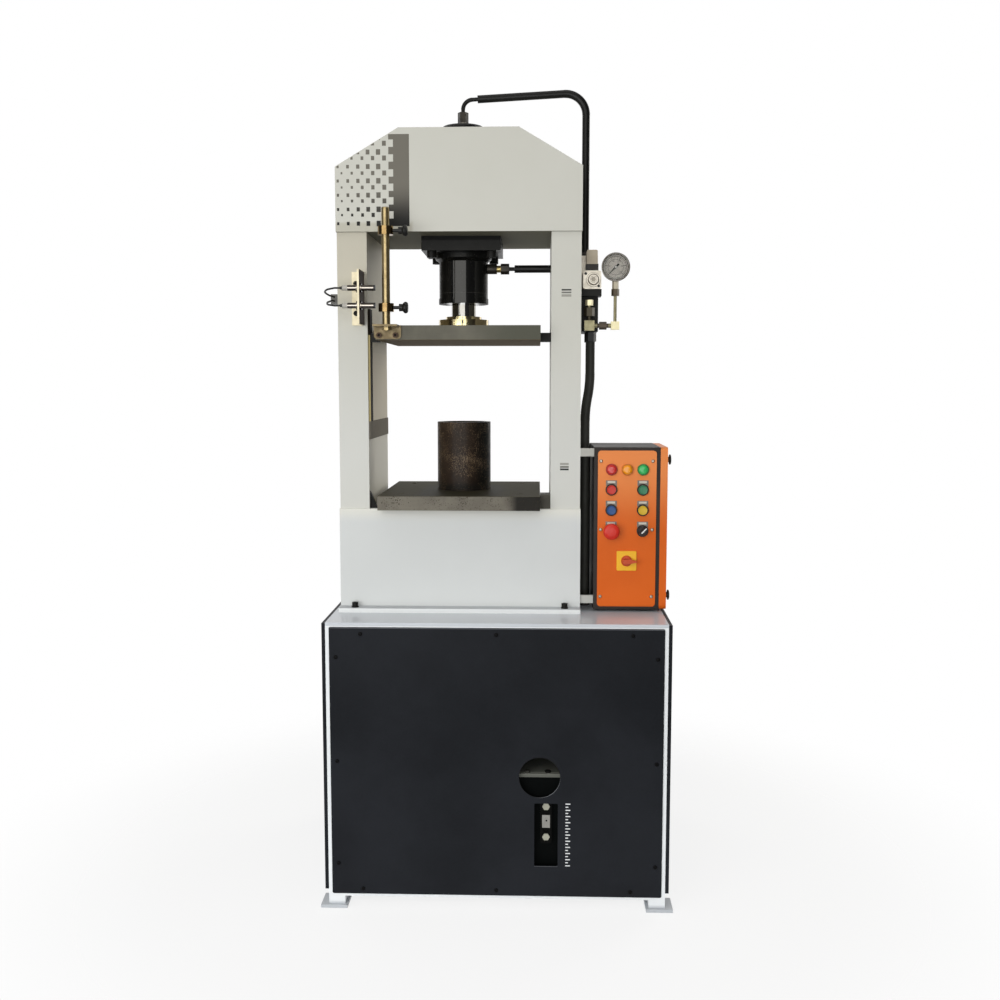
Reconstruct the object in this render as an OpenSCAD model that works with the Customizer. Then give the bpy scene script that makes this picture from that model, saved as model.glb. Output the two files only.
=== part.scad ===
// Hydraulic bench press: a welded portal frame on a power pack cabinet, with a
// ram cylinder, bed and platen, trip rod with limit sensors, and a control box.
// X runs to the right, Y to the back and Z up, from the floor under the cabinet.

/* [Cabinet] */
// Width over the tube frame
cabinet_w = 822; // [800:1:880]
// Depth over the tube frame
cabinet_d = 676; // [660:1:760]
// Height of the top face above the floor
cabinet_h = 710; // [690:1:800]
// Side of the square frame tube
tube_s = 40; // [36:1:46]
// Wall of the square frame tube
tube_wall = 3; // [2:0.5:4]
// Height of the bottom rails above the floor
rail_clear = 28; // [20:1:34]
// Thickness of the top plate
top_t = 8; // [6:0.5:10]
// Thickness of the front and rear panels
panel_t = 2; // [1.5:0.25:3]
// Frame edge that shows beside the front and rear panels
panel_border = 9; // [6:0.5:12]
// Frame edge that shows below those panels
panel_edge = 7; // [5:0.5:9]
// Frame edge that shows above those panels
panel_drop = 10.5; // [9:0.5:12]
// Screw holes in the panels
panel_screw_d = 6; // [4:0.5:8]
// Depth of the side panels, which stand proud of the frame
side_tray = 9; // [7:0.5:10]
// Sheet of the side panels
sheet_t = 1.5; // [1:0.1:2]
// Height of the side panels' lower edge above the bottom rails
side_foot = 17; // [10:1:25]
// Side of a foot plate
foot_s = 65; // [60:1:72]
// Thickness of a foot plate
foot_t = 8; // [6:0.5:12]
// Reach of a foot plate past the leg, sideways
foot_side = 19; // [15:0.5:22]
// Reach of a foot plate past the leg, to the front and back
foot_front = 8; // [5:0.5:12]

/* [Windows in the front panel] */
// Diameter of the round inspection hole
hole_d = 100; // [80:1:110]
// Centre of the inspection hole, right of the middle
hole_x = 105; // [95:1:115]
// Height of the inspection hole's centre
hole_z = 333; // [325:1:345]
// Width of the level gauge slot
slot_w = 57; // [50:1:64]
// Height of the level gauge slot
slot_h = 157; // [140:1:165]
// Centre of the slot, right of the middle
slot_x = 121; // [115:1:127]
// Height of the slot's centre
slot_z = 190; // [184:1:194]

/* [Power pack] */
// Width of the oil tank
tank_w = 400; // [360:1:420]
// Depth of the oil tank
tank_d = 480; // [440:1:500]
// Height of the oil tank
tank_h = 262; // [250:1:270]
// Wall of the oil tank
tank_wall = 4; // [3:0.5:6]
// Space between the tank's front wall and the front panel
tank_gap = 18; // [17:0.5:22]
// Tank's centre, right of the middle
tank_x = 150; // [140:1:155]
// Distance between the level gauge's bolts
gauge_pitch = 76; // [70:1:80]
// Diameter of the motor's housing inside its fins
motor_d = 190; // [176:1:200]
// Space between the motor's fan cover and the top plate
motor_clear = 36; // [20:1:50]
// Diameter of the motor's shaft
shaft_d = 28; // [24:1:32]
// Height of the bell housing between tank and motor
bell_h = 90; // [84:1:96]

/* [Press frame] */
// Middle of the press frame, right of the cabinet's middle
ram_x = -97; // [-102:1:-94]
// Width over the columns
frame_w = 604; // [590:1:614]
// Depth of the base and crosshead
frame_d = 366; // [350:1:380]
// Width of a column
column_w = 75; // [70:1:80]
// Wall of a column
column_wall = 10; // [8:0.5:12]
// Step from the base and crosshead back to the column's front
column_step = 6; // [4:0.5:8]
// Height of the base
base_h = 258; // [250:1:270]
// Clear height between base and crosshead
portal_h = 682; // [670:1:700]
// Height of the crosshead
head_h = 248; // [235:1:260]
// Width of the crosshead's flat top
head_top_w = 293; // [270:1:310]
// Height of the crosshead's sloping shoulders
head_slope = 92; // [80:1:105]
// Plate thickness of the base and crosshead
plate_t = 15; // [12:0.5:18]
// Thickness of the base's bolting flange
flange_t = 11; // [9:0.5:14]
// Reach of the bolting flange
flange_out = 35; // [32:1:40]
// Base bolt thread
bolt_d = 10; // [8:1:12]
// Inset of the base bolts from the frame's ends
bolt_inset = 39; // [34:1:48]

/* [Bed and platen] */
// Width of the bed and the platen
table_w = 402; // [394:1:410]
// Depth of the bed and the platen
table_d = 446; // [430:1:460]
// Thickness of the bed
bed_t = 35; // [30:1:40]
// Thickness of the platen
platen_t = 35; // [30:1:40]
// Raised platen's face, below the crosshead
platen_hang = 264; // [260:1:272]
// Stroke of the ram
stroke = 195; // [150:1:200]
// Pitch of the bed's tapped holes
hole_pitch = 300; // [260:1:320]
// Diameter of the bed's tapped holes
tap_d = 14; // [10:0.5:16]
// Thickness of the guide rail
rail_t = 5; // [4:0.5:8]
// Depth of the guide rail, front to back
rail_d = 40; // [34:1:50]
// Outside diameter of the support sleeve
sleeve_d = 140; // [120:1:150]
// Bore of the support sleeve
sleeve_bore = 112; // [90:1:114]
// Height of the support sleeve
sleeve_h = 177.5; // [150:0.5:185]

/* [Cylinder] */
// Outside diameter of the barrel
barrel_d = 126; // [120:1:130]
// Bore of the barrel
barrel_bore = 100; // [90:1:104]
// Diameter of the piston rod
rod_d = 63; // [56:1:66]
// Side of the mounting flange
mount_s = 200; // [190:1:206]
// Thickness of the mounting flange
mount_t = 36; // [32:1:40]
// Length of the barrel below the mounting flange
barrel_drop = 128; // [122:1:132]
// Height of the cap above the crosshead
cap_rise = 38; // [34:1:42]
// Diameter of the split flange on the rod's end
clamp_d = 130; // [124:1:136]
// Thickness of the split flange
clamp_t = 24; // [22:1:28]

/* [Trip gear] */
// Trip rod, left of the ram
trip_x = 171; // [168:1:174]
// Trip rod, in front of the platen
trip_out = 22; // [20:0.5:24]
// Diameter of the trip rod
trip_d = 19; // [16:0.5:20]
// Length of the trip rod
trip_l = 278; // [270:1:285]
// Diameter of a trip collar
collar_d = 37; // [34:0.5:38]
// Height of a trip collar
collar_h = 20; // [16:0.5:22]
// Middle of the lower collar above the platen's top
lower_collar_z = 41; // [38:0.5:44]
// Middle of the upper collar above the platen's top
upper_collar_z = 223; // [218:0.5:226]
// Diameter of a limit sensor
sensor_d = 14; // [12:0.5:16]
// Length of a limit sensor
sensor_l = 86; // [82:1:88]
// Height of the lower sensor above the platen's top
lower_sensor_z = 46; // [44:0.5:48]
// Distance between the two sensors
sensor_pitch = 42; // [40:0.5:46]

/* [Valve and gauge] */
// Height of the manifold's underside below the crosshead
manifold_drop = 240; // [232:1:246]
// Height of the manifold
manifold_h = 87; // [82:1:90]
// Width of the manifold
manifold_w = 44; // [40:1:46]
// Side of the solenoid's coil
coil_s = 45; // [40:1:46]
// Diameter of the pressure gauge
dial_d = 70; // [63:1:72]
// Gauge, right of the column
dial_out = 85.5; // [83:0.5:90]
// Diameter of the sleeved pipes
pipe_d = 19.5; // [18:0.5:20]
// Diameter of the bare pipes
tube_d = 10; // [8:0.5:12]
// Diameter of the hoses
hose_d = 21; // [18:0.5:22]

/* [Control box] */
// Gap between the column and the control box
box_gap = 33; // [31:0.5:36]
// Width of the control box
box_w = 164; // [158:1:170]
// Depth of the control box
box_d = 220; // [200:1:240]
// Height of the control box
box_h = 407; // [400:1:420]
// Gap under the control box
box_lift = 6; // [4:0.5:10]
// Sheet of the control box
box_t = 2; // [1.5:0.25:2.5]
// Depth of the door
door_t = 18; // [16:0.5:19]
// Control plate's edge distance from the box's sides
plate_side = 9.5; // [8:0.5:11]
// Control plate's edge distance from the box's top and bottom
plate_end = 8; // [6:0.5:10]
// Thickness of the control plate
control_t = 3; // [2:0.5:4]
// Diameter of the switch bezels
bezel_d = 29; // [27:0.5:30]
// Panel hole of the switches
switch_d = 22; // [20:0.5:23]
// Distance between the button columns
switch_pitch = 78; // [74:1:80]
// Height of the lamps above the box's foot
lamp_z = 352; // [350:1:356]
// Height of the upper buttons above the box's foot
upper_z = 302; // [300:1:304]
// Height of the lower buttons above the box's foot
lower_z = 251; // [249:1:253]
// Height of the emergency stop and selector above the box's foot
stop_z = 199; // [197:1:201]
// Height of the isolator above the box's foot
isolator_z = 124; // [120:1:128]
// Diameter of the emergency stop
stop_d = 40; // [36:0.5:42]
// Side of the isolator's plate
isolator_s = 49; // [46:0.5:52]
// Travel of a push button
button_travel = 3.5; // [2:0.25:3.75]

/* [Hidden] */
$fn = 64;

// Clearances: a shaft in its bore, sliding flats, a bolt or pipe in its hole
run_gap = 0.05;
slide_gap = 0.3;
pass_gap = 0.3;
eps = 1;

// Heights of the main levels
top_z = cabinet_h - top_t;
base_z = cabinet_h + base_h;
bed_z = base_z + bed_t;
head_z = base_z + portal_h;
platen_z = head_z - platen_hang;
ram_z = platen_z + platen_t;
head_top = head_z + head_h;

// Half widths and depths of the press frame
outer_x = frame_w / 2;
inner_x = outer_x - column_w;
frame_y = frame_d / 2;
column_y = frame_y - column_step;
column_trim = 1.5;
table_x = table_w / 2;
table_y = table_d / 2;
side_x = ram_x + outer_x - column_trim;
bolt_x = outer_x - bolt_inset;
bolt_y = frame_y + flange_out / 2;

// Cabinet frame
leg_x = (cabinet_w - tube_s) / 2;
leg_y = (cabinet_d - tube_s) / 2;
low_rail_z = rail_clear + tube_s / 2;
high_rail_z = top_z - tube_s / 2;
panel_y = cabinet_d / 2;
screw_inset = 25;
row_screw_x = 326;
row_screw_in = 13;
top_screw_in = 16.5;
side_screw_z = 257;
panel_low = rail_clear + panel_edge;
panel_high = cabinet_h - panel_drop;
panel_mid = (panel_low + panel_high) / 2;

// Power pack
tank_z = rail_clear + tube_s;
tank_y = -panel_y + tank_gap;
tank_bar = tank_w / 2 - 30;
lid_t = 8;
lid_lip = 8;
lid_bolt_in = 12;
lid_bolt_pitch = 50;
lid_z = tank_z + tank_h + lid_t;
level_z = slot_z + 31;
level_t = 12;
motor_back = 30;
motor_y = tank_y + tank_d / 2 + motor_back;
motor_flange_d = motor_d + 50;
motor_flange_t = 14;
motor_z = lid_z + bell_h;
fan_h = 34;
motor_top = top_z - motor_clear - fan_h;
motor_h = motor_top - motor_z - motor_flange_t;
shield_t = 20;
stator_d = motor_d - 60;
air_gap = 1;
cover_t = 2;
pump_shaft_d = 18;
pump_d = 120;
bell_wall = 10;
bell_d = 150;
bell_flange_t = 12;

// Cylinder
cap_d = barrel_d - 6;
barrel_z = head_z - mount_t - barrel_drop;
gland_ring = 14;
gland_depth = 46;
barrel_top = head_top - plate_t - 2;
bore_top = head_top - 45;
piston_h = 45;
piston_top = bore_top - 3;
spigot_d = 40;
port_d = 12;
port_z = head_z - 73;
head_floor = plate_t + 10;
mount_pitch = mount_s / 2 - 24;
mount_bolt = 16;
clamp_foot = 10;
clamp_neck = 10;
neck_d = rod_d - 12;
clamp_ring_d = clamp_d - 37;
clamp_ring_h = 8;
clamp_split = 2;

// Trip gear
rod_x0 = ram_x - trip_x;
rod_y0 = -table_y - trip_out;
trip_plate = 5;
trip_half = 33;
trip_shelf = 29;
trip_reach = 2 * trip_out + 12;
thumb_d = 8;
sense_gap = 7.5;
sensor_tip = rod_x0 - collar_d / 2 - sense_gap;
sensor_z = [ram_z + lower_sensor_z, ram_z + lower_sensor_z + sensor_pitch];
angle_t = 5;
angle_x = ram_x - inner_x - 7;
angle_w = 30;
angle_half = 65;
angle_z = (sensor_z[0] + sensor_z[1]) / 2;
angle_screw_z = 36;

// Guides
rail_top = ram_z + 43;
rail_y = -column_y + 6;
shoe_h = 22;
shoe_drop = 3;
shoe_d = rail_d - 8;
rail_over = 2;
rail_foot = platen_z - shoe_drop - stroke - rail_over;
stop_t = 3;
stop_h = 45;

// Valve, gauge and pipes
manifold_z = head_z - manifold_drop;
manifold_top = manifold_z + manifold_h;
manifold_y = -125;
pipe_y = 0;
valve_back = 25;
valve_top = port_z + 23;
coil_y = -150;
coil_back = -95;
coil_out = 27.5;
coil_x = side_x + coil_out;
coil_z = manifold_top + 16;
plug_w = 27;
plug_h = 51;
elbow_s = 25;
elbow_out = 21.5;
elbow_x = side_x + elbow_out;
elbow_z = manifold_z + elbow_s / 2 + 1;
stem_y = coil_y + elbow_s / 2;
dial_x = side_x + dial_out;
dial_rise = 143;
dial_z = elbow_z + dial_rise;
dial_t = 30;
drop_out = 15.5;
drop_x = side_x + drop_out;
hose_out = 27.5;
hose_x = side_x + hose_out;
pipe_slope = 3;
bend_r1 = 25;
bend_r2 = 53;
nut_af = 24;
adaptor_h = 10;
nut_h = 27;
pipe_lift = 8;
sleeve_start = 14;
// The bends are a little thicker than the straights, which reach into them
bend_swell = 0.6;
bend_lap = 1;
hose_y = [-95, -35];
hose_r = 320;
hose_turn = 10.7;
hose_mid = 2;
hose_lead = 80;
hose_shift = 2 * hose_r * (1 - cos(hose_turn)) + hose_mid * sin(hose_turn);
hose_nut = 24;
stub_d = 16;

// Control box
box_x = ram_x + outer_x + box_gap;
box_y = -frame_y;
box_z = cabinet_h + box_lift;
box_right = box_x + box_w;
switch_x = box_x + box_w / 2;
face_y = box_y - control_t;
rim_w = 24;
door_gap = 0.4;
door_x = box_right + door_gap;
door_r = 10;
hinge_x = box_right + door_gap / 2;
hinge_y = box_y + box_d + 6;
knuckle_d = 10;
knuckle_h = 20;
hinge_pin_d = 5;
hinge_inset = 60;
latch_inset = 16;
latch_z = [35, box_h - 31];
latch_d = 8;
bezel_h = 6;
bezel_bore = bezel_d - 5.6;
barrel_bore_d = switch_d - 5;
barrel_len = 25;
web_t = 1;
cap_clear = 0.5;
cap_seat = web_t + button_travel + cap_clear;
bracket_t = 8;
bracket_h = 20;
bracket_end = 14;
lamp_x = [-switch_pitch / 2, 0, switch_pitch / 2];
switch_places = [
    for (x = lamp_x) [x, lamp_z],
    for (x = [-1, 1], z = [upper_z, lower_z, stop_z]) [x * switch_pitch / 2, z]
];

// Sensor leads, as steps from the back of each sensor round the column's corner
lead_d = 4.5;
sensor_back = sensor_tip - sensor_l;
upper_steps = [[0, 0, 0], [-6, 0, 0], [-13, 1, 0], [-20, 3, -1], [-27, 6, -2], [-33, 11, -3],
    [-38, 18, -5], [-41, 26, -7], [-41, 35, -9], [-39, 44, -11], [-36, 53, -13], [-33, 61, -14],
    [-30, 69, -15], [-29, 77, -15], [-29, 85, -15]];
lower_steps = [[0, 0, 0], [-6, 0, 0], [-13, 1, 0], [-19, 3, 1], [-25, 6, 2], [-30, 11, 3],
    [-34, 18, 5], [-36, 26, 7], [-37, 35, 10], [-36, 44, 12], [-34, 53, 14], [-32, 61, 16],
    [-30, 69, 17], [-29, 77, 17], [-29, 85, 17]];
lower_lead = [for (p = lower_steps) p + [sensor_back, rod_y0, sensor_z[0]]];
upper_lead = [for (p = upper_steps) p + [sensor_back, rod_y0, sensor_z[1]]];
lead_end = upper_lead[len(upper_lead) - 1];
block_w = 20;
block_d = 40;
block_h = 24;
block_over = 7;

// Shared shapes

// Box between two corners
module block(low, high) {
    translate(low) cube(high - low);
}

// Round bars along the three axes
module bar_z(d, z0, z1) {
    translate([0, 0, z0]) cylinder(d = d, h = z1 - z0);
}

module bar_x(d, x0, x1) {
    translate([x0, 0, 0]) rotate([0, 90, 0]) cylinder(d = d, h = x1 - x0);
}

module bar_y(d, y0, y1) {
    translate([0, y0, 0]) rotate([-90, 0, 0]) cylinder(d = d, h = y1 - y0);
}

// Hexagon bars, sized across the flats
module hex_z(af, z0, z1) {
    translate([0, 0, z0]) cylinder(d = af / cos(30), h = z1 - z0, $fn = 6);
}

module hex_x(af, x0, x1) {
    translate([x0, 0, 0]) rotate([0, 90, 0]) cylinder(d = af / cos(30), h = x1 - x0, $fn = 6);
}

module hex_y(af, y0, y1) {
    translate([0, y0, 0]) rotate([-90, 0, 0]) cylinder(d = af / cos(30), h = y1 - y0, $fn = 6);
}

// Outline drawn in X and Z, given a thickness towards the front
module upright(y_back, t) {
    translate([0, y_back, 0]) rotate([90, 0, 0]) linear_extrude(t) children();
}

// Outline drawn in Y and Z, given a thickness towards the right
module sideways(x_left, t) {
    translate([x_left, 0, 0]) rotate([90, 0, 90]) linear_extrude(t) children();
}

module rounded_rect(low, high, r) {
    translate([low[0] + r, low[1]]) square([high[0] - low[0] - 2 * r, high[1] - low[1]]);
    translate([low[0], low[1] + r]) square([high[0] - low[0], high[1] - low[1] - 2 * r]);
    for (x = [low[0] + r, high[0] - r], y = [low[1] + r, high[1] - r])
        translate([x, y]) circle(r);
}

// Part of a ring in the XZ plane, from angle a0 to a1
module bend(r, d, a0, a1, steps = 96) {
    rotate([90, 0, 0]) rotate([0, 0, a0])
        rotate_extrude(angle = a1 - a0, $fn = steps) translate([r, 0]) circle(d = d, $fn = 64);
}

// Turned shape on the X axis, from points given as [x, radius]
module turned_x(points) {
    rotate([0, 90, 0]) rotate_extrude() polygon([for (p = points) [p[1], p[0]]]);
}

// Turned shape that points to the front, from points given as [distance in front, radius]
module turned_front(points) {
    rotate([90, 0, 0]) rotate_extrude() polygon([for (p = points) [p[1], p[0]]]);
}

// Round lead swept along its route
function unit(v) = v / norm(v);
function along(path, i) = unit(path[min(i + 1, len(path) - 1)] - path[max(i - 1, 0)]);
function across(t) = unit(cross(t, [0, 0, 1]));
module lead(path, d, sides = 8) {
    rings = len(path);
    points = [for (i = [0:rings - 1], k = [0:sides - 1])
        let (t = along(path, i), n = across(t), b = cross(n, t), a = 360 * k / sides)
        path[i] + d / 2 * (n * cos(a) + b * sin(a))];
    walls = [for (i = [0:rings - 2], k = [0:sides - 1])
        let (j = (k + 1) % sides, p = i * sides, q = p + sides)
        each [[p + k, p + j, q + j], [p + k, q + j, q + k]]];
    first = [for (k = [sides - 1:-1:0]) k];
    last = [for (k = [0:sides - 1]) (rings - 1) * sides + k];
    polyhedron(points, concat(walls, [first, last]), convexity = 4);
}

// Cabinet

module base_bolt_places() {
    for (x = [-1, 1], y = [-1, 1])
        translate([ram_x + x * bolt_x, y * bolt_y, 0]) children();
}

module hose_places(shift = 0) {
    for (y = hose_y)
        translate([hose_x - shift, y, 0]) children();
}

// Legs, rails and bars of the cabinet, drawn with tubes of side s
module cabinet_tubes(s) {
    reach_x = leg_x + s / 2;
    reach_y = leg_y + s / 2;
    for (x = [-leg_x, leg_x], y = [-leg_y, leg_y])
        block([x - s / 2, y - s / 2, foot_t], [x + s / 2, y + s / 2, top_z]);
    for (z = [low_rail_z, high_rail_z]) {
        for (y = [-leg_y, leg_y])
            block([-reach_x, y - s / 2, z - s / 2], [reach_x, y + s / 2, z + s / 2]);
        for (x = [-leg_x, leg_x])
            block([x - s / 2, -reach_y, z - s / 2], [x + s / 2, reach_y, z + s / 2]);
    }
    for (x = [tank_x - tank_bar, tank_x + tank_bar])
        block([x - s / 2, -reach_y, low_rail_z - s / 2], [x + s / 2, reach_y, low_rail_z + s / 2]);
    for (y = [-bolt_y, bolt_y])
        block([-reach_x, y - s / 2, high_rail_z - s / 2], [reach_x, y + s / 2, high_rail_z + s / 2]);
}

module cabinet_frame() {
    color("whitesmoke") {
        difference() {
            cabinet_tubes(tube_s);
            cabinet_tubes(tube_s - 2 * tube_wall);
            for (x = [-leg_x, leg_x], y = [-leg_y, leg_y])
                translate([x, y, top_z - tube_s])
                    linear_extrude(tube_s + eps) square(tube_s - 2 * tube_wall, center = true);
            base_bolt_places() bar_z(bolt_d + 2 * pass_gap, top_z - tube_s / 2, top_z + eps);
        }
        for (x = [-1, 1], y = [-1, 1]) {
            foot_x = x * (cabinet_w / 2 + foot_side - foot_s / 2);
            foot_y = y * (cabinet_d / 2 + foot_front - foot_s / 2);
            translate([foot_x - foot_s / 2, foot_y - foot_s / 2, 0]) cube([foot_s, foot_s, foot_t]);
        }
    }
}

module cabinet_top() {
    color("gainsboro") difference() {
        block([-cabinet_w / 2, -cabinet_d / 2, top_z], [cabinet_w / 2, cabinet_d / 2, cabinet_h]);
        base_bolt_places() bar_z(bolt_d + 2 * pass_gap, top_z - eps, cabinet_h + eps);
        hose_places(hose_shift) bar_z(stub_d + 2 * pass_gap, top_z - eps, cabinet_h + eps);
    }
}

// Outline of the front and rear panels with their twelve screw holes
module panel_outline() {
    half = cabinet_w / 2 - panel_border;
    difference() {
        rounded_rect([-half, panel_low], [half, panel_high], 4);
        for (x = [-row_screw_x, 0, row_screw_x], z = [panel_low + row_screw_in, panel_high - top_screw_in])
            translate([x, z]) circle(d = panel_screw_d);
        for (x = [-1, 1], z = [-1, 0, 1])
            translate([x * (cabinet_w / 2 - screw_inset), panel_mid + z * side_screw_z])
                circle(d = panel_screw_d);
    }
}

module front_panel() {
    color("#1c1c1e") upright(-panel_y, panel_t) difference() {
        panel_outline();
        translate([hole_x, hole_z]) circle(d = hole_d);
        rounded_rect([slot_x - slot_w / 2, slot_z - slot_h / 2],
            [slot_x + slot_w / 2, slot_z + slot_h / 2], 3);
    }
}

// Two side trays with folded edges, and the plain rear panel
module cover_panels() {
    tray_y = cabinet_d / 2 - 1;
    tray_low = rail_clear + side_foot;
    tray_high = cabinet_h - 2;
    color("#1c1c1e") {
        for (side = [0, 1]) mirror([side, 0, 0]) difference() {
            block([cabinet_w / 2, -tray_y, tray_low],
                [cabinet_w / 2 + side_tray, tray_y, tray_high]);
            block([cabinet_w / 2 - eps, -tray_y + sheet_t, tray_low + sheet_t],
                [cabinet_w / 2 + side_tray - sheet_t, tray_y - sheet_t, tray_high - sheet_t]);
        }
        upright(panel_y + panel_t, panel_t) panel_outline();
    }
}

// Power pack

// Tank with a bolted lid that overhangs its walls, and the pump's opening in the lid
module oil_tank() {
    low = [tank_x - tank_w / 2, tank_y, tank_z];
    high = [tank_x + tank_w / 2, tank_y + tank_d, tank_z + tank_h];
    wall = [tank_wall, tank_wall, tank_wall];
    color("#6f6a5c") difference() {
        union() {
            block(low, high);
            block([low[0] - lid_lip, low[1] - lid_lip, high[2]],
                [high[0] + lid_lip, high[1] + lid_lip, lid_z]);
            for (k = [-3.5:3.5], y = [low[1] - lid_lip + lid_bolt_in, high[1] + lid_lip - lid_bolt_in])
                translate([tank_x + k * lid_bolt_pitch, y, 0]) hex_z(13, lid_z, lid_z + 5.5);
        }
        block(low + wall, high - wall);
        translate([tank_x, motor_y, 0]) bar_z(pump_d + 10, high[2] - 2 * tank_wall, lid_z + eps);
    }
}

// Level gauge: a body with a sunk window, held by two hexagon bolts
module level_gauge() {
    half = gauge_pitch / 2 + 17;
    window = gauge_pitch / 2 - 12;
    color("#2a2a2c") {
        upright(tank_y, level_t - 3) translate([slot_x, level_z])
            rounded_rect([-14, -half], [14, half], 6);
        upright(tank_y - level_t + 3, 3) translate([slot_x, level_z]) difference() {
            rounded_rect([-14, -half], [14, half], 6);
            rounded_rect([-8, -window], [8, window], 4);
        }
        for (z = [-1, 1])
            translate([slot_x, 0, level_z + z * gauge_pitch / 2])
                hex_y(16, tank_y - level_t - 4, tank_y - level_t);
    }
}

// Finned motor housing with end shields and a fan cover
module motor_body() {
    fins = 32;
    fin_t = 3;
    fin_out = 6;
    body_z = motor_z + motor_flange_t;
    cover_d = motor_d + 2 * fin_out;
    color("#3c4a52") translate([tank_x, motor_y, 0]) difference() {
        union() {
            bar_z(motor_flange_d, motor_z, body_z);
            bar_z(motor_d, body_z, motor_top);
            translate([0, 0, body_z]) linear_extrude(motor_h - 8)
                for (k = [0:fins - 1]) rotate(360 * k / fins)
                    translate([0, -fin_t / 2]) square([motor_d / 2 + fin_out, fin_t]);
            bar_z(cover_d, motor_top - 8, motor_top + fan_h);
        }
        bar_z(stator_d, motor_z + shield_t, motor_top - shield_t);
        bar_z(shaft_d + 2 * run_gap, motor_z - eps, motor_top + eps);
        bar_z(motor_d - 8, motor_top, motor_top + fan_h - cover_t);
        for (k = [0:7]) rotate(45 * k) translate([motor_d / 4, 0, 0])
            bar_z(24, motor_top + fan_h - 2 * cover_t, motor_top + fan_h + eps);
    }
}

// Rotor, shaft, fan and coupling, down to the pump's shaft
module motor_rotor() {
    coupling_d = 66;
    color("silver") translate([tank_x, motor_y, 0]) {
        bar_z(shaft_d, lid_z + bell_h / 2, motor_top + fan_h - cover_t - 6);
        bar_z(stator_d - 2 * air_gap, motor_z + shield_t + air_gap, motor_top - shield_t - air_gap);
        bar_z(coupling_d, lid_z + bell_flange_t + 8, motor_z - 14);
        bar_z(pump_shaft_d, lid_z - 50, lid_z + bell_h / 2);
        bar_z(motor_d / 2, motor_top + 8, motor_top + 12);
        for (k = [0:7]) rotate(45 * k)
            block([shaft_d / 4, -1.5, motor_top + 8], [motor_d / 2 - 12, 1.5, motor_top + 22]);
    }
}

// Bell housing on the lid, with the gear pump and its suction pipe hung below it
module gear_pump() {
    color("#8d9194") translate([tank_x, motor_y, 0]) difference() {
        union() {
            bar_z(bell_d + 40, lid_z, lid_z + bell_flange_t);
            bar_z(bell_d, lid_z, motor_z);
            bar_z(motor_flange_d, motor_z - bell_flange_t, motor_z);
            bar_z(pump_d, lid_z - 30, lid_z);
            block([-45, -45, lid_z - 100], [45, 45, lid_z - 30]);
            bar_z(34, tank_z + 40, lid_z - 100);
            bar_z(60, tank_z + 24, tank_z + 70);
        }
        bar_z(bell_d - 2 * bell_wall, lid_z + bell_flange_t, motor_z + eps);
        bar_z(pump_shaft_d + 2 * run_gap, lid_z - 52, lid_z + bell_flange_t + eps);
        bar_z(24, tank_z + 20, lid_z - 80);
        for (a = [0, 90]) rotate(a)
            block([-bell_d, -20, lid_z + bell_flange_t + 16], [bell_d, 20, motor_z - bell_flange_t - 10]);
    }
}

// Press frame

module box_bracket(x0, z_low) {
    block([x0, -column_y, z_low], [box_x, -column_y + bracket_t, z_low + bracket_h]);
}

// Welded base box, open below, with bolting flanges and the lower bracket
module frame_base() {
    color("#c9c6b8") difference() {
        union() {
            translate([ram_x, 0, 0]) {
                block([-outer_x, -frame_y, cabinet_h], [outer_x, frame_y, base_z]);
                block([-outer_x, -frame_y - flange_out, cabinet_h],
                    [outer_x, frame_y + flange_out, cabinet_h + flange_t]);
            }
            box_bracket(side_x, box_z + bracket_end);
        }
        translate([ram_x, 0, 0])
            block([-outer_x + plate_t, -frame_y + plate_t, cabinet_h - eps],
                [outer_x - plate_t, frame_y - plate_t, base_z - plate_t - 10]);
        base_bolt_places() bar_z(bolt_d + 2 * pass_gap, cabinet_h - eps, cabinet_h + flange_t + eps);
    }
}

// Box column that stands to the right of the ram; the left one mirrors it
module column_tube() {
    difference() {
        block([inner_x, -column_y, base_z], [outer_x - column_trim, column_y, head_z]);
        block([inner_x + column_wall, -column_y + column_wall, base_z - eps],
            [outer_x - column_trim - column_wall, column_y - column_wall, head_z + eps]);
    }
}

module left_column() {
    color("#c9c6b8") translate([ram_x, 0, 0]) mirror([1, 0, 0]) difference() {
        column_tube();
        for (z = [-1, 1])
            translate([-(angle_x - angle_w / 2 - 4 - ram_x), 0, angle_z + z * angle_screw_z])
                bar_y(8 + 2 * pass_gap, -column_y - eps, -column_y + column_wall + eps);
    }
}

// Right column with the side pipe's holes and the upper bracket
module right_column() {
    color("#c9c6b8") {
        difference() {
            translate([ram_x, 0, 0]) column_tube();
            translate([ram_x, pipe_y, port_z]) bar_x(pipe_d + 8, inner_x - eps, outer_x + eps);
        }
        box_bracket(side_x, box_z + box_h - bracket_end - bracket_h + 11);
    }
}

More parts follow.
